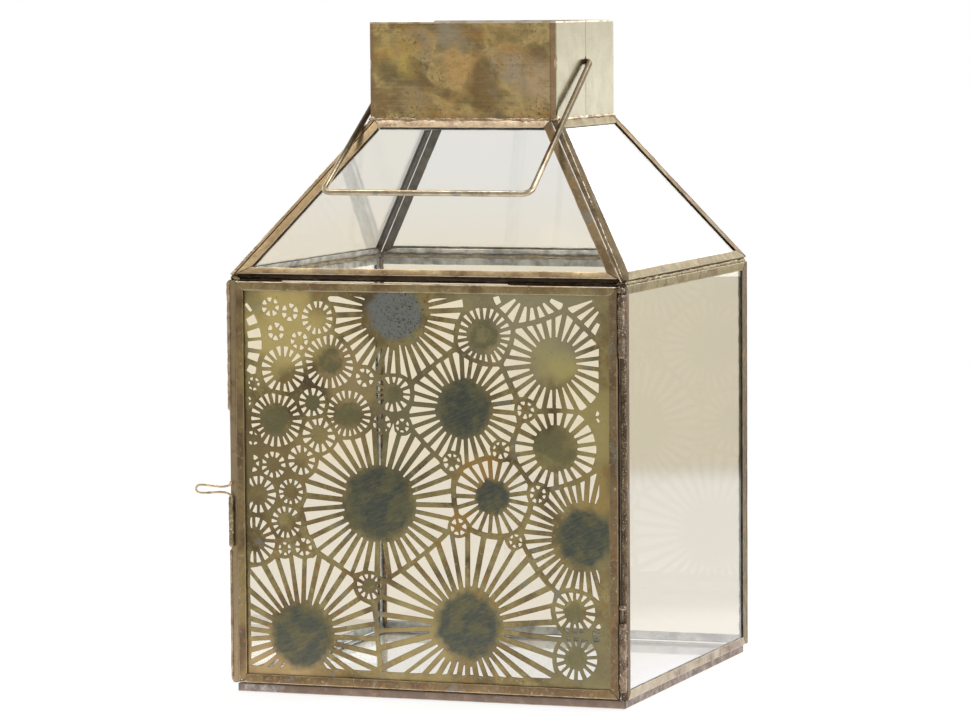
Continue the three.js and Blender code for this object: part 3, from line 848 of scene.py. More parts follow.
# A darker, less shiny copy of the eave brass for the right side's rails: painted shade that tones down the lamps'
# light there.
SHADED_EAVE = Brass(
    "shaded_eave_brass", "came", gold=(0.35, 0.29, 0.155), brown=(0.27, 0.22, 0.115), umber=(0.17, 0.135, 0.075),
    rubbed_and_lit=(0.6, 0.5, 0.33), cloud=12, flecked=0.6, metal=0.35, shine=0.45, dull=0.6, specular=0.15,
)
HIP = Brass(
    "hip_brass", "came", gold=(0.30, 0.225, 0.125), brown=(0.235, 0.165, 0.092), tinned=(0.18, 0.15, 0.105), cloud=26,
    flecked=0.4, metal=0.75, shine=0.42, dull=0.6, lacquer=0.0, specular=0.15,
)
# A brighter copy of the hip brass for the left hips: painted light.
LIT_HIP = Brass(
    "lit_hip_brass", "came", gold=(0.66, 0.49, 0.28), brown=(0.55, 0.39, 0.21), umber=(0.34, 0.24, 0.13),
    rubbed_and_lit=(0.85, 0.7, 0.5), cloud=26, flecked=0.4, tin=0.55,
)
# A darker, matt copy of the hip brass for the front-right hip: painted shade that keeps it dark under the lamps.
SHADED_HIP = Brass(
    "shaded_hip_brass", "came", gold=(0.20, 0.15, 0.085), brown=(0.155, 0.11, 0.06), umber=(0.10, 0.07, 0.04),
    bloom=(0.17, 0.105, 0.06), fleck=(0.34, 0.27, 0.17), rubbed_and_lit=(0.28, 0.22, 0.14), cloud=24, flecked=0.3,
    metal=0.0, shine=0.65, dull=0.85, tin=0.5, lacquer=0.0, specular=0.1,
)
SHADED = Brass(
    "shaded_brass", "came", gold=(0.24, 0.175, 0.105), brown=(0.18, 0.12, 0.08), umber=(0.12, 0.075, 0.05),
    bloom=(0.2, 0.12, 0.08), fleck=(0.30, 0.22, 0.14), rubbed_and_lit=(0.20, 0.145, 0.095), cloud=24, flecked=0.4, tin=0.5,
    metal=0.4, shine=0.5, dull=0.7, lacquer=0.0, specular=0.1,
)
BLUSH = Brass(
    "blush_brass", "came", gold=(0.47, 0.385, 0.26), brown=(0.38, 0.30, 0.20), bloom=(0.40, 0.28, 0.19), cloud=16,
    flecked=0.5,
)
LIT = Brass(
    "lit_brass", "came", gold=(0.50, 0.38, 0.21), brown=(0.40, 0.285, 0.155), scorch_and_shade=(0.42, 0.31, 0.185),
    rubbed_and_lit=(0.8, 0.62, 0.42), cloud=18,
)
SPLASHED = SplashedBrass(
    "splashed_brass", "came", gold=(0.36, 0.28, 0.20), brown=(0.28, 0.21, 0.155), umber=(0.19, 0.13, 0.10),
    scorch_and_shade=(0.24, 0.175, 0.13), rubbed_and_lit=(0.55, 0.44, 0.33), cloud=16,
    zones=((-70, 2, 5, (0.85, 0.85, 0.83)), (-63, 2, 4, (0.8, 0.8, 0.78)), (-57, 2, 3, (0.7, 0.68, 0.64))),
)
# A darker copy for the right back stile, whose faces stand in the back corner: painted shade.
SHADED_FAR_STILE = Brass(
    "shaded_far_stile_brass", "came", gold=(0.20, 0.165, 0.095), brown=(0.16, 0.125, 0.07), tinned=(0.32, 0.29, 0.23),
    cloud=26, flecked=0.4, metal=0.6, specular=0.2,
)
# The door's top rail: its bright edge colour is partly a painted highlight where the top fold catches the light from
# above.
DOOR_TOP = Brass("door_top_brass", "came", gold=(0.45, 0.34, 0.16), rubbed_and_lit=(1.0, 0.84, 0.62), cloud=18)
DOOR_LOW = Brass("door_low_brass", "came", gold=(0.30, 0.21, 0.10), brown=(0.225, 0.15, 0.073), cloud=18)
DOOR_RIGHT = Brass(
    "door_right_brass", "came", gold=(0.29, 0.21, 0.115), brown=(0.225, 0.155, 0.085), rubbed_and_lit=(0.4, 0.3, 0.18),
    cloud=18, metal=0.6, shine=0.45, dull=0.6, lacquer=0.0, specular=0.1,
)
COPPER = Brass(
    "latch_copper", "wire", gold=(0.88, 0.69, 0.47), brown=(0.72, 0.53, 0.34), umber=(0.42, 0.29, 0.18),
    bloom=(0.70, 0.50, 0.32), cloud=8, metal=0.75, shine=0.25, dull=0.4,
)
SOLDER = Solder(
    "corner_solder", "solder", pale=(0.26, 0.19, 0.115), middle=(0.165, 0.118, 0.068), dark=(0.09, 0.06, 0.036),
    glint=0.6, metal=0.3, specular=0.1, rough=(0.7, 0.4),
)
LEFT_SOLDER = Solder(
    "left_solder", "solder", pale=(0.72, 0.53, 0.32), middle=(0.52, 0.38, 0.22), dark=(0.32, 0.22, 0.13), glint=0.3,
    metal=0.5,
)
HIP_SHADE = Solder(
    "hip_shade_solder", "solder", pale=(0.25, 0.185, 0.105), middle=(0.19, 0.14, 0.078), dark=(0.14, 0.10, 0.055),
    glint=0.1, metal=0.1, specular=0.08, rough=(0.8, 0.6),
)
HIP_SOLDER = Solder("hip_solder", "solder", pale=(0.30, 0.22, 0.12), middle=(0.22, 0.155, 0.085), glint=0.15)
# Near-black solder behind the slits and under the door: painted shadow.
SHADOW_SOLDER = Solder(
    "shadow_solder", "solder", pale=(0.1, 0.07, 0.045), middle=(0.06, 0.04, 0.025), dark=(0.03, 0.02, 0.013), glint=0.1
)
EAVE_SOLDER = Solder(
    "eave_solder", "solder", pale=(0.46, 0.37, 0.21), middle=(0.31, 0.24, 0.12), dark=(0.17, 0.125, 0.06), glint=0.5,
    metal=0.6,
)
BRIGHT_LINE = Solder(
    "bright_solder", "solder", pale=(1.0, 0.92, 0.80), middle=(0.8, 0.68, 0.52), dark=(0.3, 0.2, 0.13)
)
SEAT_SOLDER = Solder(
    "seat_solder", "solder", pale=(0.92, 0.78, 0.60), middle=(0.6, 0.45, 0.3), dark=(0.30, 0.2, 0.13)
)
SOLDER_BROWN = Solder(
    "solder_brown", "came", pale=(0.33, 0.235, 0.15), middle=(0.23, 0.155, 0.095), dark=(0.12, 0.08, 0.05), metal=0.7
)
SOLDER_GOLD = Solder(
    "solder_gold", "came", pale=(0.50, 0.38, 0.20), middle=(0.34, 0.25, 0.125), dark=(0.20, 0.14, 0.07), glint=1.0,
    metal=0.7,
)
GLASS = PaneGlass("pane_glass", "glass")


# Cames


@dataclass(frozen=True)
class Came:
    """A folded channel as the frame holds it, in metres.

    Its outline is given by how far a point lies in from the pane's edge and how far through the pane. Each end
    is cut on a straight mitre: start and end hold the place along the came at its edge, and how far that moves
    for each metre in.
    """

    corner: Array
    along: Array
    inward: Array
    through: Array
    face: float
    depth: float
    start: Span
    end: Span

    @classmethod
    def read(cls, rail: str, pane: str) -> Came:
        """Measures a rail of the frame against the pane that it holds.

        Args:
            rail: The rail's node.
            pane: The pane's node.

        Returns:
            The came.
        """
        points, pane_points = node_points(rail), node_points(pane)
        middle = pane_points.mean(0)
        through = np.linalg.svd(pane_points - middle, full_matrices=False)[2][2]
        through *= np.sign(through @ (middle - MIDDLE))
        along = np.linalg.svd(points - points.mean(0), full_matrices=False)[2][0]
        inward = cls.toward(np.cross(through, along), middle - points.mean(0))
        ahead = (points - points.mean(0)) @ along > 0
        edge_slack = 0.02 * MM
        ends = []
        for group in (points[~ahead], points[ahead]):
            inset = group @ inward
            ends.append(group[inset < inset.min() + edge_slack].mean(0))
        along = unit(ends[1] - ends[0])
        along = unit(along - through * (along @ through))
        inward = cls.toward(np.cross(through, along), middle - points.mean(0))
        corner = ends[0] + through * ((points @ through).min() - ends[0] @ through)
        inset, place = (points - corner) @ inward, (points - corner) @ along
        mitres = [tuple(np.polyfit(inset[group], place[group], 1)[::-1].tolist()) for group in (~ahead, ahead)]
        return cls(corner, along, inward, through, inset.max(), np.ptp(points @ through), *mitres)

    @staticmethod
    def toward(vector: Array, goal: Array) -> Array:
        """The vector at length one, turned round if it points away from the goal."""
        return unit(vector) * np.sign(vector @ goal)

    def at(self, share: Array, inset: Array, through: Array) -> Array:
        """Finds points on the came.

        Args:
            share: Shares of its length.
            inset: How far in from its edge, in metres.
            through: How far through the pane, in metres.

        Returns:
            The points, with one more axis than the three arguments.
        """
        first = self.start[0] + self.start[1] * inset
        last = self.end[0] + self.end[1] * inset
        spread = ((first + share * (last - first), self.along), (inset, self.inward), (through, self.through))
        points = self.corner
        for distance, way in spread:
            points = points + distance[..., None] * way
        return points


@dataclass(frozen=True)
class Channel:
    """The outline of a folded channel, and how uneven a hand-folded one is. Sizes are in millimetres.

    The curl is how far each lip dips, the step is the spacing of rows, the dent and the lip's wander are how far
    ripples push the faces and the lips, and the slant draws the web in towards the outer face. The fine dent
    is a share of the dent, and the lip a share of the sheet's thickness. Each fold has some steps.
    """

    sheet: float = 0.4
    fold: float = 1.0
    curl: float = 0.12
    step: float = 2.0
    dent: float = 0.05
    fine_dent: float = 0.4
    lip_wander: float = 0.16
    slant: float = 0.0
    lip: float = 0.8
    steps: int = 6

    def outline(self, came: Came) -> tuple[Array, Array]:
        """Draws the channel's outline.

        The outer line runs in along one face, round two folds and back along the other. Each face dips to its lip
        by the cube of the distance from the fold. The inner line runs one sheet inside. The slant is most at the
        outer fold and nothing at the lips.

        Args:
            came: The came's own sizes.

        Returns:
            The points, as inset and through in metres, and their wear, inside and web marks. The wear mark also
            places painted highlights on the folds, and the web mark painted shade as well as scorching.
        """
        face, depth, fold, sheet = came.face, came.depth, self.fold * MM, self.sheet * MM
        run = np.linspace(1, 0, self.steps)
        dip = self.curl * MM * run**3
        inset = fold + (face - fold) * run
        turn = np.linspace(0, math.pi / 2, self.steps)
        near = np.stack([fold - fold * np.sin(turn), depth - fold + fold * np.cos(turn)], 1)
        far = np.stack([near[::-1, 0], depth - near[::-1, 1]], 1)
        top = np.stack([inset, depth - dip], 1)[:-1]
        bottom = np.stack([inset[::-1], dip[::-1]], 1)[1:]
        lip = dip[0] + sheet * self.lip
        inner = np.array([(face, lip), (sheet, sheet), (sheet, depth - sheet), (face, depth - lip)])
        points = np.concatenate([top, near, far, bottom, inner])
        points[:, 0] += self.slant * MM * points[:, 1] / depth * (1 - points[:, 0] / face)
        first = slice(self.steps - 1, 2 * self.steps - 1)
        second = slice(first.stop, first.stop + self.steps)
        # The wear mark also places painted highlights on the folds, and the web mark painted shade.
        worn_and_lit, inside, web = marks = np.zeros((3, len(points)))
        worn_and_lit[first] = np.sin(np.linspace(0.2, math.pi - 0.2, self.steps))
        worn_and_lit[second] = 0.6 * worn_and_lit[first]
        worn_and_lit[[0, 1]] = (0.8, 0.3)
        inside[second.stop - 4 : second.stop] = (0.2, 0.5, 0.8, 1)
        inside[second.stop :] = 1
        web[first] = np.linspace(0, 1, self.steps) ** 2
        web[second] = web[first][::-1]
        return points, marks.T

    def build(self, name: str, rail: str, pane: str, body: Body, finish: Brass) -> None:
        """Makes the dressed channel that stands for a rail of the frame.

        Args:
            name: The piece's name.
            rail: The rail's node.
            pane: The node of the pane that it holds.
            body: What it moves with.
            finish: What it is made of.
        """
        came = Came.read(rail, pane)
        outline, marks = self.outline(came)
        rows = max(6, round((came.end[0] - came.start[0]) / (self.step * MM)))
        share = np.linspace(0, 1, rows)[:, None] + 0 * outline[:, 0]
        inset, through = 0 * share + outline[:, 0], 0 * share + outline[:, 1]
        points = came.at(share, inset, through)
        seed = seed_of(name)
        lip = (inset / came.face) ** 2 * self.lip_wander * MM * (ripple(points, 9, seed) - 1) / 2
        on_face = np.clip(inset / (self.fold * MM), 0, 1)
        pressed = self.dent * MM * (1 + ripple(points, 18, seed + 1)) / 2
        pressed += self.fine_dent * self.dent * MM * (1 + ripple(points, 5, seed + 2)) / 2
        side = np.sign(through - came.depth / 2) * on_face
        points = came.at(share, inset + lip + pressed * (1 - on_face), through - side * pressed)
        make_piece(name, [skin(points)], finish, body, [rail], np.tile(marks, (rows, 1)))


# Each panel's rails, in order round it.
PANELS: dict[str, tuple[str, ...]] = {
    "base": ("front_rail", "right_rail", "back_rail", "left_rail"),
    "right": ("bottom_rail", "back_stile", "top_rail", "front_stile"),
    "left": ("bottom_rail", "front_stile", "top_rail", "back_stile"),
    "back": ("bottom_rail", "left_stile", "top_rail", "right_stile"),
    **{
        f"roof_{side}": ("eave_rail", "hip_rail_right", "top_rail", "hip_rail_left")
        for side in ("front", "right", "back", "left")
    },
}
DOOR_RAILS = ("door_bottom_rail", "door_hinge_stile", "door_top_rail", "door_latch_stile")

# The rails whose finish differs from their neighbours': some by patina, and the lit and shaded copies by painted
# light and shade.
SPECIAL_RAILS = {
    "base_front_rail": SPLASHED,
    "left_front_stile": LIT,
    "right_front_stile": SHADED,
    "right_back_stile": SHADED_FAR_STILE,
    "roof_front_eave_rail": EAVE,
    "roof_right_hip_rail_left": SHADED_HIP,
    "roof_front_hip_rail_left": LIT_HIP,
    "roof_right_eave_rail": SHADED_EAVE,
    "roof_right_top_rail": SHADED_EAVE,
    "right_top_rail": SHADED_EAVE,
    "base_right_rail": BLUSH,
    "right_bottom_rail": BLUSH,
    "door_top_rail": DOOR_TOP,
    "door_bottom_rail": DOOR_LOW,
    "door_hinge_stile": DOOR_RIGHT,
}


@dataclass(frozen=True)
class Panels:
    """The glazed panels of the base, walls and roof: dressed cames round the frame's own panes."""

    channel: Channel = Channel()
    crisp: Channel = Channel(fold=0.45)
    eave: Channel = Channel(fold=0.3, slant=0.65)

    def style(self, rail: str) -> tuple[Brass, Channel]:
        """Chooses how a rail looks: the roof's and the base's are folded crisply.

        Args:
            rail: The rail's name.

        Returns:
            Its finish and its channel.
        """
        if rail in SPECIAL_RAILS:
            return SPECIAL_RAILS[rail], self.eave if rail == "roof_front_eave_rail" else self.crisp
        if rail.startswith("roof"):
            return (HIP if "hip" in rail else SEAT if "top" in rail else EAVE), self.crisp
        return CAME, self.crisp if rail.startswith("base") else self.channel

    def build(self) -> None:
        """Dresses every pane and came."""
        for panel, rails in PANELS.items():
            pane = f"{panel}_glass"
            materials = FRAME["nodes"][pane].data.materials
            materials.clear()
            materials.append(GLASS.material())
            for rail in (f"{panel}_{part}" for part in rails):
                finish, channel = self.style(rail)
                channel.build(f"{rail}_came", rail, pane, Body.LANTERN, finish)


# Solder


@dataclass(frozen=True)
class Bead:
    """A run of solder laid along a joint, thicker and thinner as the iron went.

    The section is a circle of the bead's radius, swollen by ripples of two sizes, and it thins towards both ends
    over a stretch of some radii. Radius and step are in millimetres, start and end are places in metres.
    """

    start: Array
    end: Array
    radius: float = 0.6
    rough: float = 0.35
    step: float = 0.7
    sides: int = 12
    thinning: float = 1.5
    tip: float = 0.02
    swelling: Span = (0.3, 1.7)

    def skin(self, seed: int) -> Skin:
        """Makes the bead's closed skin.

        Args:
            seed: Picks its ripples.

        Returns:
            Its points and faces.
        """
        line = self.end - self.start
        length, radius = np.linalg.norm(line), self.radius * MM
        share = np.linspace(0, 1, max(6, round(length / (self.step * MM))))
        spine = self.start + share[:, None] * line
        away = unit(np.cross(line, (0.3, 0.5, 0.8)))
        across = unit(np.cross(line, away))
        turn = circle(self.sides)[:, None]
        ring = np.cos(turn) * away + np.sin(turn) * across
        reach = np.minimum(share, 1 - share) * length / (self.thinning * radius)
        taper = np.sqrt(np.clip(reach, self.tip, 1))
        points = spine[:, None] + radius * taper[:, None, None] * ring
        swell = 1 + self.rough * (0.6 * ripple(points, 7, seed) + 0.5 * ripple(points, 2.2, seed + 1))
        return skin(spine[:, None] + (points - spine[:, None]) * np.clip(swell, *self.swelling)[..., None])


def bead(start: Triple, end: Triple, radius: float, rough: float = Bead.rough) -> Bead:
    """A bead between two places in millimetres from the body's own middle."""
    return Bead(spot(*start), spot(*end), radius, rough)


@dataclass(frozen=True)
class Solders:
    """Every visible run of solder on the body and the collar.

    Sizes are in millimetres: half the body's width, the walls' depth, the foot and top of the corners' runs, the
    height of the eaves' seam, how far from the corners the runs over and under the door begin, how far inside
    the walls their seams lie, and how far outside the collar its seam runs.
    """

    half: float = 82.5
    depth: float = 3.0
    low: float = 4.6
    high: float = 163.6
    eave: float = 164.2
    mouth: float = 3.5
    tuck: float = 0.15
    seat: float = 0.1

    @property
    def seam(self) -> float:
        """How far from the middle the seams inside the walls run."""
        return self.half - self.depth - self.tuck

    def upright(self, x: float, y: float, radius: float, rough: float = Bead.rough) -> Bead:
        """A bead up a whole corner."""
        return bead((x, y, self.low), (x, y, self.high), radius, rough)

    def corners(self) -> list[Bead]:
        """Runs seams up the right and back outside corners.

        Returns:
            The beads.
        """
        out, flush = self.half - 0.1, self.half - 0.8
        return [
            self.upright(flush, -out, 0.7, 0.5),
            self.upright(flush - 0.9, -out, 0.55, 0.6),
            self.upright(-out, self.seam, 0.5),
            self.upright(flush + 0.2, self.seam, 0.5),
        ]

    def left_corner(self) -> list[Bead]:
        """Runs the build-ups up the front left corner.

        Returns:
            The beads.
        """
        out = self.half - 0.1
        high = bead((-out, -out, 112), (-out, -out, self.high), 0.75, 0.25)
        return [high, bead((-out, -out, self.low), (-out, -out, 57), 0.55, 0.15)]

    def slit(self) -> list[Bead]:
        """Runs the dark beads behind the slits over the door and beside its hinge: painted shadow in the gaps.

        Returns:
            The beads.
        """
        y, z, left, right = -self.half + 2.6, self.high, -self.half + self.mouth, self.half - self.mouth
        return [
            self.upright(self.half - self.depth - 0.18, -self.half + 0.35, 0.17, 0.05),
            bead((left, y, z + 0.5), (right, y, z + 0.5), 0.38, 0.15),
            bead((left, y, z + 0.1), (-60, y, z + 0.3), 0.6, 0.2),
            bead((33, y, z + 0.4), (right, y, z), 0.65, 0.2),
        ]

    def inner_corners(self) -> list[Bead]:
        """Seams up the inside of the two back corners."""
        return [self.upright(side * self.seam, self.seam, 1.1, 0.2) for side in (-1, 1)]

    def eaves(self) -> list[Bead]:
        """Runs seams under the roof: outside on three walls, inside where the roof meets them, and at its tips.

        Returns:
            The beads.
        """
        out, seam, z = self.half - 1.0, self.half - self.depth, self.eave
        beads = [bead((-seam, seam, z), (seam, seam, z), 0.8, 0.6), bead((-out, out, z), (out, out, z), 0.8, 0.4)]
        for side in (-1, 1):
            beads.append(bead((side * out, -out, z + 0.3), (side * out, out, z + 0.3), 0.85, 0.5))
            beads.append(bead((side * seam, -seam, z), (side * seam, seam, z), 0.75, 0.6))
        tip, root = self.half - 1.3, (self.half - 4.5, self.half - 1.5)
        for x, y in ((-1, -1), (1, -1), (1, 1), (-1, 1)):
            beads.append(bead((x * tip, y * tip, z + 0.4), (x * root[0], y * root[1], z + 0.1), 1.0, 0.5))
        return beads

    def sill(self) -> list[Bead]:
        """The dark run along the base's front came, under the door: painted shadow."""
        x, y = self.half - self.mouth, -self.half + 2.2
        return [bead((-x, y, 3.5), (x, y, 3.5), 0.42, 0.2)]

    def collar_seat(self) -> list[Bead]:
        """Runs the seam round the collar's foot, with a heavier touch at each corner.

        Returns:
            The beads.
        """
        low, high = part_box("collar_front"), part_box("collar_back")
        x0, y0 = low[0][0] - self.seat * MM, low[0][1] - self.seat * MM
        x1, y1 = high[1][0] + self.seat * MM, high[1][1] + self.seat * MM
        z = low[0][2] - 2 * self.seat * MM
        loop = [np.array(p) for p in ((x0, y0, z), (x1, y0, z), (x1, y1, z), (x0, y1, z))]
        beads = [Bead(loop[i], loop[(i + 1) % 4], 0.55, 0.7) for i in range(4)]
        for i in range(4):
            for other in (loop[(i + 1) % 4], loop[i - 1]):
                beads.append(Bead(loop[i], loop[i] + unit(other - loop[i]) * 3.5 * MM, 0.9, 0.6))
        return beads

    def build(self) -> None:
        """Makes each group of seams as one piece."""
        groups = {
            "corner": (self.corners(), SOLDER),
            "left_corner": (self.left_corner(), LEFT_SOLDER),
            "slit": (self.slit(), SHADOW_SOLDER),
            "inner": (self.inner_corners(), HIP_SOLDER),
            "eave": (self.eaves(), EAVE_SOLDER),
            "collar": (self.collar_seat(), SEAT_SOLDER),
            "sill": (self.sill(), SHADOW_SOLDER),
        }
        for name, (beads, finish) in groups.items():
            skins = [run.skin(seed_of(f"{name}{i}")) for i, run in enumerate(beads)]
            make_piece(f"solder_{name}", skins, finish, Body.LANTERN)


@dataclass(frozen=True)
class HipSeam:
    """The solder that fills the groove between two roof panels.

    Each end of the frame's solid is a four-sided loop. The seam runs straight between the loops, with every side
    split into equal parts. It is swollen to wet both panels, ripples draw it in towards its middle, and a fine
    bright bead, the crest, runs up its outer edge. Step, crest and lift are in millimetres.
    """

    node: str
    split: int = 4
    step: float = 0.9
    swell: float = 0.12
    rough: float = 0.08
    crest: float = 0.2
    lift: float = 0.1

    def ends(self) -> Array:
        """Finds the two end loops, matched corner for corner.

        Returns:
            Their points, shape (2, 4, 3).
        """
        points = np.unique(node_points(self.node).round(7), axis=0)
        middle = points.mean(0)
        axes = np.linalg.svd(points - middle, full_matrices=False)[2]
        ahead = (points - middle) @ axes[0] > 0
        loops = []
        for group in (points[~ahead], points[ahead]):
            flat = (group - group.mean(0)) @ axes[1:].T
            loops.append(group[np.argsort(np.arctan2(flat[:, 1], flat[:, 0]))])
        return np.stack(loops)

    def build(self, name: str) -> None:
        """Makes the seam and its crest.

        Args:
            name: The seam's name.
        """
        ends = self.ends()
        part = np.arange(self.split)[None, :, None] / self.split
        first, last = (
            (loop[:, None] * (1 - part) + np.roll(loop, -1, 0)[:, None] * part).reshape(-1, 3) for loop in ends
        )
        rows = round(np.linalg.norm(ends[1].mean(0) - ends[0].mean(0)) / (self.step * MM))
        share = np.linspace(0, 1, rows)[:, None, None]
        points = first * (1 - share) + last * share
        spine = points.mean(1, keepdims=True)
        seed = seed_of(name)
        draw = self.rough * (1 + 0.6 * ripple(points, 6, seed) + 0.6 * ripple(points, 2, seed + 1))
        points = points + (spine - points) * (np.clip(draw, 0, 0.5) - self.swell)[..., None]
        # Left seams take the lit copy and right seams the shaded solder: painted light and shade.
        finish = LIT_HIP if points[..., 0].mean() < CENTRE[0] else HIP_SHADE
        marks = np.zeros((points.size // 3, 3))
        make_piece(name, [skin(points)], finish, Body.LANTERN, [self.node], marks)
        tips = []
        for loop in ends:
            out = (loop - loop.mean(0)) @ (loop.mean(0) - MIDDLE)
            tips.append(loop[np.argsort(out)[-2:]].mean(0))
        lift = unit((tips[0] + tips[1]) / 2 - spine.mean((0, 1))) * self.lift * MM
        crest = Bead(tips[0] + lift, tips[1] + lift, self.crest, rough=0.9, step=0.4, sides=8)
        make_piece(f"{name}_crest", [crest.skin(seed + 2)], BRIGHT_LINE, Body.LANTERN)


# Collar, bail, hinge and latch


@dataclass(frozen=True)
class CollarHalf:
    """Half of the open collar: one sheet bent to a U, hemmed at the top, bitten by the bail's hole.

    The sheet is a grid of the way along the bend by height. Its line runs straight, round a corner's arc,
    straight, round the other corner and straight, and the two ends step back round the hole by the circle's
    half chord. A second grid, one sheet further in, closes it and swells over the hem. Sizes are in millimetres.
    """

    node: str
    hole_height: float = 22.1
    hole_radius: float = 1.6
    sheet: float = 0.55
    bend: float = 0.9
    hem: float = 2.2
    hem_swell: float = 0.28
    wave: float = 0.12
    flatter: float = 0.4
    rim: float = 0.8
    steps: int = 150
    rows: int = 34
    hem_rows: int = 9

    def line(self, share: Array, pull: Array, draw: Array, size: Span, side: float) -> Array:
        """Finds points on the bent line, seen from above.

        Args:
            share: Shares of its length.
            pull: How far its ends are pulled back, in metres.
            draw: How far it is drawn inwards, in metres.
            size: Half its width, and its depth, in metres.
            side: 1 for the front half, -1 for the back one.

        Returns:
            The points, with one more axis than the shares.
        """
        half, deep = size
        bend = self.bend * MM
        legs = np.array([deep - bend, bend * math.pi / 2, 2 * (half - bend), bend * math.pi / 2, deep - bend])
        stops = np.concatenate([[0], np.cumsum(legs)])
        place = pull + share * (stops[-1] - 2 * pull)
        turn1, turn2 = (np.clip((place - stops[i]) / bend, 0, math.pi / 2) for i in (1, 3))
        heading = turn1 + turn2
        x = -half + bend * (1 - np.cos(turn1)) + np.clip(place - stops[2], 0, legs[2]) + bend * np.sin(turn2)
        y = -np.clip(place, 0, legs[0]) - bend * np.sin(turn1) + bend * (1 - np.cos(turn2))
        y = y + np.clip(place - stops[4], 0, legs[4])
        normal = np.stack([np.cos(heading), np.sin(heading)], -1)
        return np.stack([x, side * y], -1) + draw[..., None] * normal * (1, side)

    def walls(self, name: str, heights: Array, low: Array, high: Array) -> Array:
        """Makes the sheet's outer and inner walls, dented most half way between its middle and its ends.

        Args:
            name: The piece's name, which picks the dents.
            heights: Heights above the collar's foot, in metres.
            low: The lowest corner of the frame's box.
            high: Its highest corner.

        Returns:
            Rows of points for skin(), each up the outer wall and down the inner one.
        """
        side = 1 if low[1] < CENTRE[1] - 0.01 else -1
        size = (high[0] - low[0]) / 2, high[1] - low[1]
        hole = (self.hole_radius * MM) ** 2 - (heights - self.hole_height * MM) ** 2
        share = np.linspace(0, 1, self.steps)[:, None] + 0 * heights
        pull = np.sqrt(np.clip(hole, 0, None)) + 0 * share
        in_hem = np.clip((heights - (high - low)[2] + self.hem * MM) / (self.hem * MM), 0, 1)
        swell = self.hem_swell * MM * np.sin(in_hem * math.pi)
        ease = np.sin(math.pi * share) * (1 - np.abs(share - 0.5) * self.flatter)
        walls = []
        for draw in (0 * heights, self.sheet * MM + swell):
            flat = self.line(share, pull, draw + 0 * share, size, side)
            points = np.concatenate([flat, heights[None, :, None] + 0 * flat[..., :1]], -1)
            dent = self.wave * MM * (1 + ripple(points, 34, seed_of(name))) / 2 * ease
            flat = self.line(share, pull, draw + dent, size, side)
            flat = flat + ((low[0] + high[0]) / 2, high[1] if side == 1 else low[1])
            walls.append(np.concatenate([flat, heights[None, :, None] + low[2] + 0 * flat[..., :1]], -1))
        return np.concatenate([walls[0], walls[1][:, ::-1]], 1)

    def build(self, name: str) -> None:
        """Makes the half, brightened along its rim, partly wear and partly a painted highlight, and tinned inside.

        Args:
            name: The piece's name.
        """
        low, high = box(self.node)
        tall = high[2] - low[2]
        plain = tall - self.hem * MM
        in_hem = np.linspace(0, 1, self.hem_rows) * self.hem * MM
        heights = np.concatenate([np.linspace(0, 1, self.rows)[:-1] * plain, plain + in_hem])
        rows = self.walls(name, heights, low, high)
        rim = heights > tall - self.rim * MM
        marks = np.zeros(rows.shape)
        # The rim's wear mark lays the bright edge colour: partly wear, partly a painted highlight line.
        marks[:, np.concatenate([rim, rim[::-1]]), 0] = 1
        marks[:, len(heights) :, 1] = 1
        make_piece(name, [skin(rows)], COLLAR, Body.LANTERN, [self.node], marks.reshape(-1, 3))


def bent_wire(corners: Array, bends: Sequence[float], step: float, bend_steps: int = 12) -> Array:
    """The centre line of a bent wire: straight runs, with each corner rounded by a parabola.

    Args:
        corners: Where the straight runs would meet, in metres, shape (n, 3).
        bends: How far before and after each inner corner its parabola reaches, in millimetres.
        step: The spacing of points on the straight runs, in millimetres.
        bend_steps: How many points each parabola has.

    Returns:
        Points along the line, shape (m, 3).
    """
    parts = []
    last = corners[0]
    for corner, ahead, bend in zip(corners[1:-1], corners[2:], bends):
        start = corner - unit(corner - last) * bend * MM
        end = corner + unit(ahead - corner) * bend * MM
        count = max(2, round(np.linalg.norm(start - last) / (step * MM)))
        parts.append(last + np.linspace(0, 1, count, endpoint=False)[:, None] * (start - last))
        t = np.linspace(0, 1, bend_steps, endpoint=False)[:, None]
        parts.append((1 - t) ** 2 * start + 2 * t * (1 - t) * corner + t**2 * end)
        last = end
    count = max(2, round(np.linalg.norm(corners[-1] - last) / (step * MM)))
    parts.append(last + np.linspace(0, 1, count)[:, None] * (corners[-1] - last))
    return np.concatenate(parts)


def round_wire(
    line: Array, radius: float, flat: Array, seed: int, sides: int = 20, uneven: float = 0.03, tip: float = 0.55
) -> Array:
    """Rows of a wire's skin: circles about the line, square to it, a little uneven and rounded at the ends.

    Args:
        line: The centre line, shape (n, 3).
        radius: The wire's radius in millimetres.
        flat: A direction square to the whole line, which keeps the circles from twisting.
        seed: Picks the unevenness.
        sides: Points on each circle.
        uneven: The most that the radius loses, as a share.
        tip: The share of the radius at both ends.

    Returns:
        Rows of points for skin().
    """
    ahead = np.gradient(line, axis=0)
    ahead /= np.linalg.norm(ahead, axis=1, keepdims=True)
    across = np.cross(ahead, flat)
    turn = circle(sides)[None, :, None]
    ring = np.cos(turn) * flat + np.sin(turn) * across[:, None]
    swell = 1 - uneven * (1 + ripple(line, 8, seed)) / 2
    swell[[0, -1]] = tip
    return line[:, None] + ring * (radius * MM * swell)[:, None, None]


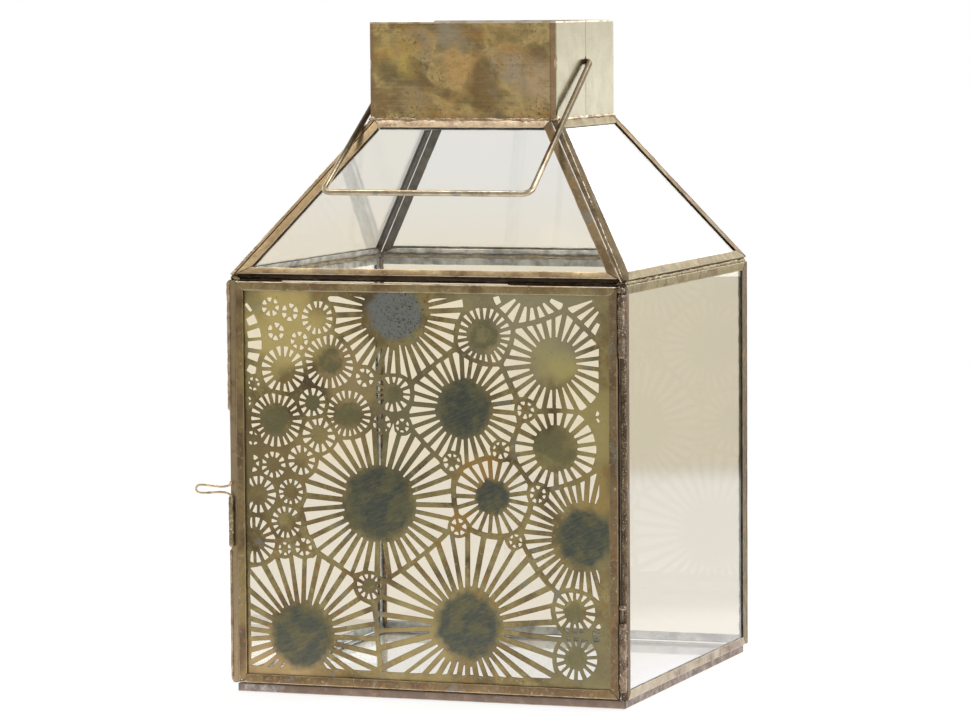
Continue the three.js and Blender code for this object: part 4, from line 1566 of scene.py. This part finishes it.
@dataclass(frozen=True)
class Bail:
    """The wire bail, from one end turned in through the collar, round, to the other.

    Sizes are in millimetres. Painted shade darkens the wire upwards over the height called shaded, and that begins
    above its lowest point by the share of it that shade_start gives.
    """

    radius: float = 1.2
    clear: float = 0.8
    tail: float = 2.2
    pivot_bend: float = 1.8
    corner_bend: float = 4.2
    step: float = 1.6
    shaded: float = 14
    shade_start: float = 0.6

    def build(self) -> None:
        """Makes the bail where the frame's box and joint put it."""
        low, high = box("bail_handle")
        pivot = np.array(next(joint["pos_m"] for joint in FRAME["joints"] if joint["name"] == "bail_swing"))
        radius = self.radius * MM
        foot = (high[0] - low[0]) / 2 - radius
        collar = box("collar_front")
        half = (collar[1][0] - collar[0][0]) / 2
        top, tail = half + self.clear * MM + radius, half - self.tail * MM
        arm = np.array([0, low[1] + radius - pivot[1], low[2] + radius - pivot[2]])
        side = np.array([1.0, 0, 0])
        places = ((-tail, 0), (-top, 0), (-foot, arm), (foot, arm), (top, 0), (tail, 0))
        corners = np.array([pivot + side * out + drop for out, drop in places])
        bends = [self.pivot_bend, self.corner_bend, self.corner_bend, self.pivot_bend]
        line = bent_wire(corners, bends, self.step)
        rows = round_wire(line, self.radius, unit(np.cross(side, arm)), seed_of("bail"))
        marks = np.zeros((rows.size // 3, 3))
        # Painted shade: the wire's web share rises with height.
        marks[:, 2] = np.clip((rows.reshape(-1, 3)[:, 2] - low[2]) / MM / self.shaded - self.shade_start, 0, 1)
        make_piece("bail_wire", [skin(rows)], WIRE, Body.BAIL, ["bail_handle"], marks)


def turned(axis: Array, outline: Array, rough: float, seed: int, sides: int = 36) -> Array:
    """Rows of a ring about an upright axis: an outline of radius and height, in millimetres, carried round.

    Args:
        axis: The axis's foot, in metres.
        outline: A closed outline, shape (n, 2).
        rough: How far ripples push the outer side in or out, in millimetres.
        seed: Picks the ripples.
        sides: Steps round the axis.

    Returns:
        Rows for skin(), which close on themselves.
    """
    turn = circle(sides)[:, None]
    radius, height = outline[:, 0] * MM, outline[:, 1] * MM
    ring = np.stack([np.cos(turn) * radius, np.sin(turn) * radius, height + 0 * turn], -1) + axis
    outer = np.clip((radius - radius.min()) / np.ptp(radius), 0, 1)
    push = rough * MM * outer * (0.6 * ripple(ring, 4, seed) + 0.5 * ripple(ring, 1.6, seed + 1) - 0.4)
    way = np.stack([np.cos(turn), np.sin(turn), 0 * turn], -1)
    return ring + push[..., None] * way


@dataclass(frozen=True)
class HingeAndLatch:
    """The hinge's barrels and pins, and the latch's loop and sleeve.

    Sizes are in millimetres: the bores' radii, the spacing of rows, how far a barrel's ends are rounded off and
    over what height, how far short of its ends the bore starts, and the distance below which points are merged.
    """

    hinge_bore: float = 0.85
    latch_bore: float = 0.8
    step: float = 0.5
    rounded: float = 0.35
    rounding: float = 0.25
    chamfer: float = 0.1
    merged: float = 0.002
    smoothing: float = 0.3
    crease: float = 60

    def barrel(self, node: str, name: str, bore: float, finish: Finish, rough: float) -> None:
        """Makes a barrel with rounded ends, roughened by solder.

        Args:
            node: The frame node that it stands for.
            name: The piece's name.
            bore: Its bore's radius in millimetres.
            finish: What it is made of.
            rough: How far ripples push its outside, in millimetres.
        """
        low, high = box(node)
        middle = (low + high) / 2
        radius = (high[1] - low[1]) / 2 / MM
        tall = (high[2] - low[2]) / MM
        rise = np.linspace(0, tall, max(8, round(tall / self.step)))
        outer = radius - self.rounded * np.exp(-np.minimum(rise, tall - rise) / self.rounding)
        outline = np.concatenate([np.stack([outer, rise], 1), [(bore, tall - self.chamfer), (bore, self.chamfer)]])
        rows = turned(np.array([*middle[:2], low[2]]), outline, rough, seed_of(name))
        make_piece(name, [skin(rows, closed=True)], finish, Body.LANTERN, [node])

    def smooth_copy(self, node: str, name: str, body: Body, finish: Finish) -> None:
        """Makes a copy of a frame node's mesh, merged and rounded by one subdivision.

        Args:
            node: The frame node that it stands for.
            name: The piece's name.
            body: What it moves with.
            finish: What it is made of.
        """
        mesh = FRAME["nodes"][node].data.copy()
        with opened(mesh) as work:
            bmesh.ops.remove_doubles(work, verts=work.verts, dist=self.merged * MM)
            bmesh.ops.subdivide_edges(work, edges=work.edges, cuts=1, use_grid_fill=True, smooth=self.smoothing)
            for vert in work.verts:
                vert.co = np.clip(np.array(vert.co), *BOX)
        finish_mesh(mesh, self.crease)
        place_piece(mesh, name, finish, body, [node])

    def build(self) -> None:
        """Makes the hinge and the latch."""
        for place, rough in (("top", 0.22), ("bottom", 0.14)):
            self.barrel(f"hinge_barrel_{place}", f"hinge_tube_{place}", self.hinge_bore, SOLDER_BROWN, rough)
        self.barrel("latch_sleeve", "latch_tube", self.latch_bore, SOLDER_GOLD, 0.12)
        for place in ("top", "bottom"):
            self.smooth_copy(f"hinge_pin_{place}", f"hinge_wire_{place}", Body.DOOR, SOLDER_BROWN)
        self.smooth_copy("latch_loop", "latch_wire", Body.LATCH, COPPER)


# Door


@dataclass(frozen=True)
class Rosette:
    """A sunburst cut in the door's sheet: gaps between spokes, from a hub outwards.

    Its middle, outer radius and hub's radius are in millimetres. Its outer radius is also its weight against its
    neighbours. A count of 0 leaves the number of gaps to its size. The turn is how many steps from the right its
    first gap stands, and a turn of None is left to chance.
    """

    x: float
    z: float
    outer: float
    hub: float = 1.1
    count: int = 0
    stain: Stain = Stain.BARE
    turn: float | None = None

    @property
    def gaps(self) -> int:
        """How many gaps it has: its own count, or 1.7 to each millimetre of its size."""
        return self.count or max(6, round(1.7 * self.outer))


ROSETTES = (
    Rosette(-19.5, 77, 28, 14.5, 35, Stain.SLATE),
    Rosette(17, 30, 35, 13, 34, Stain.SLATE),
    Rosette(-52.4, 23.5, 29.5, 12.5, 33, Stain.SLATE),
    Rosette(-12.2, 152, 24.5, 10.5, 36, Stain.BLUE),
    Rosette(16.2, 115.3, 20, 11, 30, Stain.SLATE),
    Rosette(53, 133.5, 18.5, 9, 26),
    Rosette(53.6, 100.5, 15, 8.5, 22, Stain.OLIVE),
    Rosette(65, 66.5, 22, 11, 36, Stain.SLATE),
    Rosette(27.6, 81, 14.3, 6.3, 21, Stain.SLATE),
    Rosette(24.6, 143.5, 10.8, 5.0, 23, Stain.OLIVE),
    Rosette(43.5, 163, 14.5, 7.5, 20),
    Rosette(79, 162.5, 20, 8.5, 30, turn=0),
    Rosette(-92, 138.5, 20.5, 10, 27),
    Rosette(-44.7, 149.5, 6.8, 2.9, 14),
    Rosette(-59.3, 128.8, 9.2, 3.3, 17),
    Rosette(-40, 132.3, 10.3, 4.4, 22, Stain.OLIVE),
    Rosette(-62.5, 109, 10.5, 4.5, 22, Stain.OLIVE),
    Rosette(-47.2, 116, 6, 2.7, 11, Stain.OLIVE),
    Rosette(-32, 111.8, 9.3, 4.1, 21, Stain.OLIVE),
    Rosette(-13.3, 120.5, 7.4, 2.3, 14, Stain.OLIVE),
    Rosette(-44.5, 103.5, 7.2, 2.2, 12),
    Rosette(-52, 93.3, 6, 2.7, 11),
    Rosette(-64, 91, 5.5, 2.4, 11),
    Rosette(-70.4, 79.2, 7.5, 2.8, 14),
    Rosette(-56.6, 80.5, 5.4, 2.7, 12),
    Rosette(-58.7, 68.5, 6.5, 3, 14),
    Rosette(-72.5, 61, 9, 3, 16),
    Rosette(61, 37.5, 8.5, 3.2, 15, Stain.OLIVE),
    Rosette(61.6, 19.2, 8.5, 3.3, 15, Stain.OLIVE),
    Rosette(-24, 44.3, 5.6, 2, 11, Stain.OLIVE),
    *(
        Rosette(x, z, outer)
        for x, z, outer in (
            (-64.5, 153.5, 4), (-56.3, 151.5, 3.8), (-62.3, 143.8, 3.8), (-52.5, 140.3, 4), (-25, 126.5, 4.1),
            (-72, 123, 2.9), (-18, 108.5, 4), (-9.5, 107.8, 3.1), (41.5, 115.3, 3.9), (31, 99.5, 4), (11, 94.5, 4),
            (46.3, 82.5, 3.9), (-59.5, 57.8, 3), (-51.5, 58.8, 3.9), (13.5, 68.8, 3.8), (37, 64, 3.1),
            (-75.5, 116, 2.7), (-72.5, 101.5, 3.1), (-73, 91.5, 3.8), (73.5, 113.5, 4), (73.8, 28.5, 5.8),
        )
    ),
)

# Broad casts of colour in the sheet's patina: X, height, size and colour.
ZONES = (
    (-58, 146, 24, (0.84, 0.66, 0.26)),
    (-30, 128, 14, (0.52, 0.38, 0.18)),
    (45, 155, 34, (0.47, 0.42, 0.26)),
    (56, 134, 12, (0.60, 0.50, 0.20)),
    (72, 112, 18, (0.52, 0.42, 0.17)),
    (0, 112, 30, (0.25, 0.22, 0.125)),
    (-70, 90, 22, (0.30, 0.22, 0.10)),
    (-40, 96, 16, (0.46, 0.34, 0.15)),
    (22, 88, 9, (0.50, 0.27, 0.07)),
    (13, 69, 7, (0.45, 0.25, 0.07)),
    (70, 84, 12, (0.48, 0.33, 0.12)),
    (-60, 8, 22, (0.58, 0.40, 0.19)),
    (0, 25, 26, (0.48, 0.37, 0.16)),
    (62, 20, 24, (0.27, 0.235, 0.12)),
    (74, 60, 16, (0.30, 0.25, 0.115)),
)


@dataclass(frozen=True)
class PiercedSheet:
    """The door's pierced sheet, cut out between spokes of even width inside a solid border.

    Sizes are in millimetres. The ring is the sheet left between two rosettes, which is wider between large ones.
    A rosette's gaps may reach as far as its growth times its outer radius, and small rosettes grow less. The
    tip is a gap's least width at its inner end, a gap shorter than the least is left out, and the corner is how
    far a gap's corners are rounded.
    """

    left: float = -74.3
    right: float = 71.2
    low: float = 10.9
    high: float = 158
    ring: float = 1.9
    ring_least: float = 1.0
    ring_growth: float = 0.07
    growth: float = 1.16
    growth_least: float = 0.88
    growth_slope: float = 0.0145
    spoke: float = 0.62
    spoke_power: float = 0.335
    spoke_spread: Span = (0.93, 1.1)
    tip: float = 0.45
    least: float = 0.5
    corner: float = 0.34
    corner_share: float = 0.36
    thickness: float = 0.5
    bevel: float = 0.12
    merged: float = 0.004
    crease: float = 30

    def reach(self, me: Rosette, angles: Array) -> Array:
        """Finds how far each direction from a rosette's middle may be cut.

        Two rosettes share the line on which their distances, each divided by its rosette's size, are equal.
        Along a direction that is a quadratic in the distance, and its least positive root is taken. The cut
        stops half a ring before the line, measured square to it, and at the border.

        Args:
            me: The rosette.
            angles: The directions, in radians.

        Returns:
            The distances in millimetres, of the angles' shape.
        """
        centre = np.array([me.x, me.z])
        ways = np.stack([np.cos(angles), np.sin(angles)], -1)
        limit = np.full(angles.shape, me.outer * min(self.growth, self.growth_least + self.growth_slope * me.outer))
        for axis, edges in enumerate(((self.left, self.right), (self.low, self.high))):
            if edges[0] < centre[axis] < edges[1]:
                for edge in edges:
                    way = ways[..., axis]
                    run = (edge - centre[axis]) / np.where(np.abs(way) < 1e-6, 1e-6, way)
                    limit = np.where(run > 0, np.minimum(limit, run), limit)
        for other in ROSETTES:
            if other is me:
                continue
            offset = np.array([other.x, other.z]) - centre
            bulk = me.outer**2 * (offset @ offset)
            tilt = me.outer**2 * (ways @ offset)
            inner = tilt**2 + (other.outer**2 - me.outer**2) * bulk
            total = tilt + np.sqrt(np.clip(inner, 0, None))
            meets = (inner > 0) & (total > 1e-9)
            run = bulk / np.where(meets, total, 1)
            from_other = run[..., None] * ways - offset
            away = np.linalg.norm(from_other, axis=-1, keepdims=True)
            slope = ways / me.outer - from_other / away / other.outer
            steep = np.maximum((slope * ways).sum(-1), 1e-3)
            ring = min(self.ring, self.ring_least + self.ring_growth * min(me.outer, other.outer))
            back = ring / 2 * np.linalg.norm(slope, axis=-1) / steep
            limit = np.where(meets, np.minimum(limit, run - back), limit)
        return limit

    def wander(self, me: Rosette) -> float:
        """How unevenly a rosette is cut: small ones more so."""
        return 0.05 + 0.35 / me.outer

    def gaps(self, me: Rosette) -> list[Array]:
        """Cuts one rosette's gaps.

        Between two spokes a gap's half angle at radius r is half a step less the angle that half a spoke
        takes up there, so the spokes keep one width. Its outer end follows whatever stops it.

        Args:
            me: The rosette.

        Returns:
            Their outlines in millimetres, each of shape (n, 2).
        """
        rng = np.random.default_rng(seed_of(f"{me.x} {me.z}"))
        half = math.pi / me.gaps
        turn = rng.uniform() if me.turn is None else me.turn
        middle = (np.arange(me.gaps) + turn) * 2 * half + rng.normal(0, self.wander(me) * half, me.gaps)
        spoke = self.spoke * me.outer**self.spoke_power * rng.uniform(*self.spoke_spread, me.gaps)
        tip = np.maximum(me.hub, (spoke + self.tip) / 2 / math.sin(half))
        start = tip + rng.uniform(0, 1.8 * self.wander(me), me.gaps) * (me.outer - tip)
        start = np.maximum(start, self.entry(me, middle))
        wide = half - np.arcsin(spoke / 2 / me.outer)
        spread = np.linspace(-1, 1, 4)
        limit = self.reach(me, middle[:, None] + wide[:, None] * spread)
        limit *= 1.01 - rng.uniform(0, 0.35 * self.wander(me), me.gaps)[:, None]
        outlines = []
        for i in range(me.gaps):
            if limit[i].min() - start[i] < self.least:
                continue
            narrow = half - math.asin(min(0.98 * math.sin(half), spoke[i] / 2 / start[i]))
            outer = half - np.arcsin(np.minimum(spoke[i] / 2 / limit[i], 0.9 * math.sin(half)))
            radius = np.concatenate([[start[i]], limit[i], [start[i]]])
            turn = middle[i] + np.concatenate([[-narrow], outer * spread, [narrow]])
            points = np.stack([me.x + radius * np.cos(turn), me.z + radius * np.sin(turn)], 1)
            outlines.append(self.eased(points))
        return outlines

    def entry(self, me: Rosette, angles: Array) -> Array:
        """Finds where directions from a middle beyond the border enter the field.

        Args:
            me: The rosette.
            angles: The directions, in radians.

        Returns:
            The distances in millimetres, or 0 for a middle inside the border.
        """
        start = np.zeros(len(angles))
        sides = ((me.x, np.cos(angles), self.left, self.right), (me.z, np.sin(angles), self.low, self.high))
        for place, way, low, high in sides:
            for beyond, ahead in ((low - place, way), (place - high, -way)):
                if beyond > 0:
                    start = np.maximum(start, beyond / np.maximum(ahead, 1e-3))
        return start

    def eased(self, points: Array) -> Array:
        """Rounds each corner of an outline by a parabola that reaches one corner size to each side.

        Args:
            points: The outline, shape (n, 2).

        Returns:
            The rounded outline, shape (3 n, 2).
        """
        ahead = np.roll(points, -1, 0) - points
        long = np.linalg.norm(ahead, axis=1, keepdims=True)
        cut = np.minimum(self.corner / long, self.corner_share) * ahead
        after = points + cut
        before = points - np.roll(cut, 1, 0)
        middle = (before + 2 * points + after) / 4
        return np.stack([before, middle, after], 1).reshape(-1, 2)

    def filled(self, outlines: Sequence[Array]) -> bpy.types.Mesh:
        """Fills outlines as a flat curve with a small bevel.

        Args:
            outlines: The sheet's own outline and those of its gaps.

        Returns:
            The filled mesh, flat on the floor, in the outlines' units.
        """
        curve = bpy.data.curves.new("pierced_outline", "CURVE")
        curve.dimensions = "2D"
        curve.fill_mode = "BOTH"
        curve.extrude = self.thickness / 2 - self.bevel
        curve.bevel_depth = self.bevel
        curve.bevel_resolution = 0
        curve.offset = -self.bevel
        for outline in outlines:
            spline = curve.splines.new("POLY")
            spline.points.add(len(outline) - 1)
            spline.points.foreach_set("co", np.pad(outline, ((0, 0), (0, 2))).ravel())
            spline.use_cyclic_u = True
        flat = put("pierced_outline", curve)
        graph = bpy.context.evaluated_depsgraph_get()
        mesh = bpy.data.meshes.new_from_object(flat.evaluated_get(graph))
        bpy.data.objects.remove(flat)
        return mesh

    def finish(self, shift: float) -> PiercedBrass:
        """Makes the sheet's finish, with its stains and zones where the door stands.

        Args:
            shift: How far the body's middle stands from the origin in X, in millimetres.

        Returns:
            The finish.
        """
        return PiercedBrass(
            "pierced_brass", "pierced", gold=(0.41, 0.325, 0.135), brown=(0.27, 0.20, 0.085),
            umber=(0.15, 0.11, 0.055), bloom=(0.36, 0.20, 0.065), fleck=(0.62, 0.52, 0.30), flecked=0.45,
            cloud=20, shine=0.34, dull=0.55, metal=0.85, grain=0.012,
            hubs=tuple((r.x + shift, r.z, r.hub + 1, r.stain) for r in ROSETTES if r.stain is not Stain.BARE),
            zones=tuple((x + shift, z, size, colour) for x, z, size, colour in ZONES),
        )

    def build(self) -> None:
        """Makes the sheet in millimetres, and stands it in the door."""
        low, high = box("door_screen") / MM
        shift = np.array([CENTRE[0], 0]) / MM
        corners = np.array([(low[0], low[2]), (high[0], low[2]), (high[0], high[2]), (low[0], high[2])])
        outlines = [gap + shift for rosette in ROSETTES for gap in self.gaps(rosette)]
        log.info("pierced sheet: %d gaps", len(outlines))
        mesh = self.filled([corners, *outlines])
        middle = (low[1] + high[1]) / 2
        stand = Matrix(((1, 0, 0, 0), (0, 0, -1, middle), (0, 1, 0, 0), (0, 0, 0, 1)))
        mesh.transform(Matrix.Scale(MM, 4) @ stand)
        with opened(mesh) as work:
            bmesh.ops.remove_doubles(work, verts=work.verts, dist=self.merged * MM)
        finish_mesh(mesh, self.crease)
        place_piece(mesh, "pierced_sheet", self.finish(shift[0]), Body.DOOR, ["door_screen"])


@dataclass(frozen=True)
class Door:
    """The hinged door: four dressed cames round the pierced sheet, with a touch of solder at each mitre."""

    channel: Channel = Channel(fold=0.6)
    sheet: PiercedSheet = PiercedSheet()

    def build(self) -> None:
        """Makes the door."""
        for rail in DOOR_RAILS:
            finish = SPECIAL_RAILS.get(rail, CAME)
            self.channel.build(f"{rail}_came", rail, "door_screen", Body.DOOR, finish)
        self.sheet.build()
        skins = []
        for i, rail in enumerate(DOOR_RAILS):
            came = Came.read(rail, "door_screen")
            for share in (0.0, 1.0):
                inset = np.array([0.25, 0.9]) * came.face
                line = came.at(np.full(2, share), inset, np.full(2, came.depth - 0.1 * MM))
                skins.append(Bead(line[0], line[1], 0.22, 0.5, 0.3).skin(seed_of(f"mitre{i}{share}")))
        make_piece("door_mitre_solder", skins, SOLDER_GOLD, Body.DOOR)


# Studio


@dataclass(frozen=True)
class Lamp:
    """A soft oblong lamp, at a place in metres from the body's foot, that faces the body's middle."""

    name: str
    place: Triple
    size: Span
    power: float
    colour: Colour
    goal: float = 0.12

    def build(self) -> None:
        """Hangs the lamp."""
        data = bpy.data.lights.new(self.name, "AREA")
        data.shape = "RECTANGLE"
        data.size, data.size_y = self.size
        data.energy = self.power
        data.color = self.colour
        lamp = put(self.name, data)
        lamp.location = Vector(self.place) + Vector((*CENTRE, 0))
        lamp.rotation_euler = (Vector((*CENTRE, self.goal)) - lamp.location).to_track_quat("-Z", "Y").to_euler()


LAMPS = (
    Lamp("top_lamp", (0.3, 0.45, 0.95), (0.5, 0.5), 3.2, (1.0, 0.98, 0.95)),
    Lamp("right_lamp", (1.1, -0.1, 0.75), (0.7, 0.7), 2.4, (1.0, 0.99, 0.97)),
    Lamp("fold_lamp", (-0.4, -0.1, 1.24), (0.25, 0.25), 1.6, (1.0, 0.98, 0.95)),
    Lamp("back_lamp", (0.52, 1.42, 0.15), (0.6, 0.16), 0.3, (0.98, 1.0, 0.93)),
    Lamp("roof_lamp", (0.37, 1.41, 0.62), (0.42, 0.34), 0.85, (1.0, 1.0, 0.97)),
)


@dataclass(frozen=True)
class Studio:
    """A white floor and world, soft lamps, and a camera where the photograph was taken from.

    The angles are in degrees, and the camera's and floor's sizes in millimetres. The shadow is how much of the
    floor seen straight is lit by the lamps alone, and so shows shadows.
    """

    yaw: float = 19.57
    lift: float = 4.62
    roll: float = 0.40
    lens: float = 171.2
    film: float = 36
    away: float = 1872.65
    aside: float = 4.2
    aim: float = 125.8
    floor_half: float = 900
    floor_drop: float = 0.2
    shadow: float = 0.3
    bright: Triple = (0.33, 0.94, 0.0)
    white: Colour = (1.0, 1.0, 1.0)
    cloth: Colour = (0.9, 0.9, 0.89)
    dim: Colour = (0.50, 0.485, 0.46)
    lit: Colour = (1.45, 1.43, 1.37)
    overhead: Colour = (0.48, 0.475, 0.46)
    table_edge: Colour = (0.10, 0.115, 0.14)
    cream: Colour = (0.83, 0.745, 0.565)
    pale: Colour = (0.824, 0.828, 0.823)
    floor_white: Colour = (1.2, 1.2, 1.2)
    floor_reflected: Colour = (0.65, 0.76, 0.84)
    floor_through: Colour = (0.79, 0.70, 0.55)
    floor_under: Colour = (0.92, 0.85, 0.72)
    floor_beside: Colour = (1.14, 1.12, 1.18)
    floor_near: Colour = (1.55, 1.55, 1.68)

    def camera(self) -> None:
        """Sets the camera back from a point over the body's middle, then a little to the left."""
        a, e, r = (math.radians(v) for v in (self.yaw, self.lift, self.roll))
        right = np.array([math.cos(a), math.sin(a), 0])
        back = np.array([math.sin(a) * math.cos(e), -math.cos(a) * math.cos(e), math.sin(e)])
        up = np.cross(back, right)
        eye = spot(0, 0, self.aim) + MM * (back * self.away - right * self.aside)
        rolled = right * math.cos(r) - up * math.sin(r)
        tipped = right * math.sin(r) + up * math.cos(r)
        data = bpy.data.cameras.new("camera")
        data.lens = self.lens
        data.sensor_width = self.film
        data.clip_start, data.clip_end = 0.05, 50
        camera = put("camera", data)
        turn = Matrix([Vector(v) for v in (rolled, tipped, back)]).transposed()
        camera.matrix_world = Matrix.Translation(Vector(eye)) @ turn.to_4x4()
        bpy.context.scene.camera = camera

    def world(self) -> None:
        """Makes the room: bright behind and to the right, dimmer towards the viewer, dark under the horizon.

        Seen straight it is white. Through glass it is cream, and paler higher up.
        """
        world = bpy.data.worlds.new("studio")
        bpy.context.scene.world = world
        tree = new_tree(world)
        way = tree.node("ShaderNodeTexCoord").outputs["Generated"]
        height = tree.part(way, 2)
        facing = tree.vector("DOT_PRODUCT", way, self.bright).outputs["Value"]
        room = tree.blend(tree.span(facing, -0.8, 0.85), self.dim, self.lit)
        room = tree.blend(tree.span(height, 0.3, 0.95), room, self.overhead)
        under = tree.times(tree.span(height, -0.3, -0.16), tree.span(height, -0.025, -0.045))
        under = tree.times(under, tree.span(facing, 0.2, 0.7))
        room = tree.blend(under, room, self.table_edge)
        path = tree.node("ShaderNodeLightPath").outputs
        cream = tree.blend(tree.span(height, -0.07, -0.035), self.cream, self.pale)
        room = tree.blend(path["Is Transmission Ray"], room, cream)
        room = tree.blend(path["Is Camera Ray"], room, self.white)
        tree.end(tree.node("ShaderNodeBackground", {0: room}).outputs[0], "ShaderNodeOutputWorld")

    def floor(self) -> None:
        """Makes the floor: a white diffuse plane that glows enough to read as white out of the shadow.

        Its glow has one colour seen straight, one in reflections and one through glass.
        """
        mesh = bpy.data.meshes.new("floor")
        half = self.floor_half * MM
        corners = ((-half, -half), (half, -half), (half, half), (-half, half))
        mesh.from_pydata([(*corner, -self.floor_drop * MM) for corner in corners], [], [(0, 1, 2, 3)])
        material = bpy.data.materials.new("floor_white")
        tree = new_tree(material)
        path = tree.node("ShaderNodeLightPath").outputs
        white = tree.sum("MAXIMUM", path["Is Camera Ray"], path["Is Glossy Ray"])
        white = tree.sum("MAXIMUM", white, path["Is Transmission Ray"])
        away = tree.vector("DISTANCE", tree.place(), (*(CENTRE / MM), 0)).outputs["Value"]
        far = tree.span(away, 740, 880)
        reflected = tree.blend(tree.span(away, 200, 290), self.floor_near, self.floor_reflected)
        reflected = tree.blend(far, reflected, self.table_edge)
        hue = tree.blend(path["Is Glossy Ray"], self.floor_white, reflected)
        beside = tree.span(tree.part(tree.place(), 0), 20, 80)
        through = tree.blend(beside, self.floor_under, self.floor_beside)
        through = tree.blend(tree.span(away, 90, 130), through, self.floor_through)
        through = tree.blend(far, through, self.cream)
        hue = tree.blend(path["Is Transmission Ray"], hue, through)
        cloth = tree.node("ShaderNodeBsdfDiffuse", {0: self.cloth}).outputs[0]
        glow = tree.node("ShaderNodeEmission", {0: hue}).outputs[0]
        share = tree.times(white, tree.span(far, 0, 1, 1 - self.shadow, 1))
        tree.end(tree.node("ShaderNodeMixShader", {0: share, 1: cloth, 2: glow}).outputs[0])
        mesh.materials.append(material)
        put("floor", mesh)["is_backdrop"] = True

    def build(self) -> None:
        """Sets up the whole studio."""
        bpy.context.scene.view_settings.view_transform = "Standard"
        self.camera()
        self.world()
        self.floor()
        for lamp in LAMPS:
            lamp.build()


def write_sizes(solid: Sequence[Sequence[float]], dressed: Sequence[Sequence[float]]) -> None:
    """Gathers two boxes as plain lists of metres, but does not write them anywhere.

    Args:
        solid: The lowest and highest corners of the frame.
        dressed: Those of the frame with its dressing.
    """
    boxes = {
        name: [[float(value) for value in corner] for corner in corners]
        for name, corners in (("cad", solid), ("visual", dressed))
    }


def main() -> None:
    """Dresses the lantern and sets up the studio."""
    global FRAME, BOX, CENTRE, MIDDLE
    logging.basicConfig(level=logging.INFO, format="%(message)s")
    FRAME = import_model()
    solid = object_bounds()
    BOX = np.array(solid)
    CENTRE = box("base_glass").mean(0)[:2]
    MIDDLE = np.array([*CENTRE, 0.1])
    Panels().build()
    Solders().build()
    for corner in ("front_left", "front_right", "back_right", "back_left"):
        HipSeam(f"hip_solder_{corner}").build(f"hip_seam_{corner}")
    for half in ("front", "back"):
        CollarHalf(f"collar_{half}").build(f"collar_sheet_{half}")
    Bail().build()
    HingeAndLatch().build()
    Door().build()
    Studio().build()
    write_sizes(solid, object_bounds())


if __name__ == "__main__":
    main()
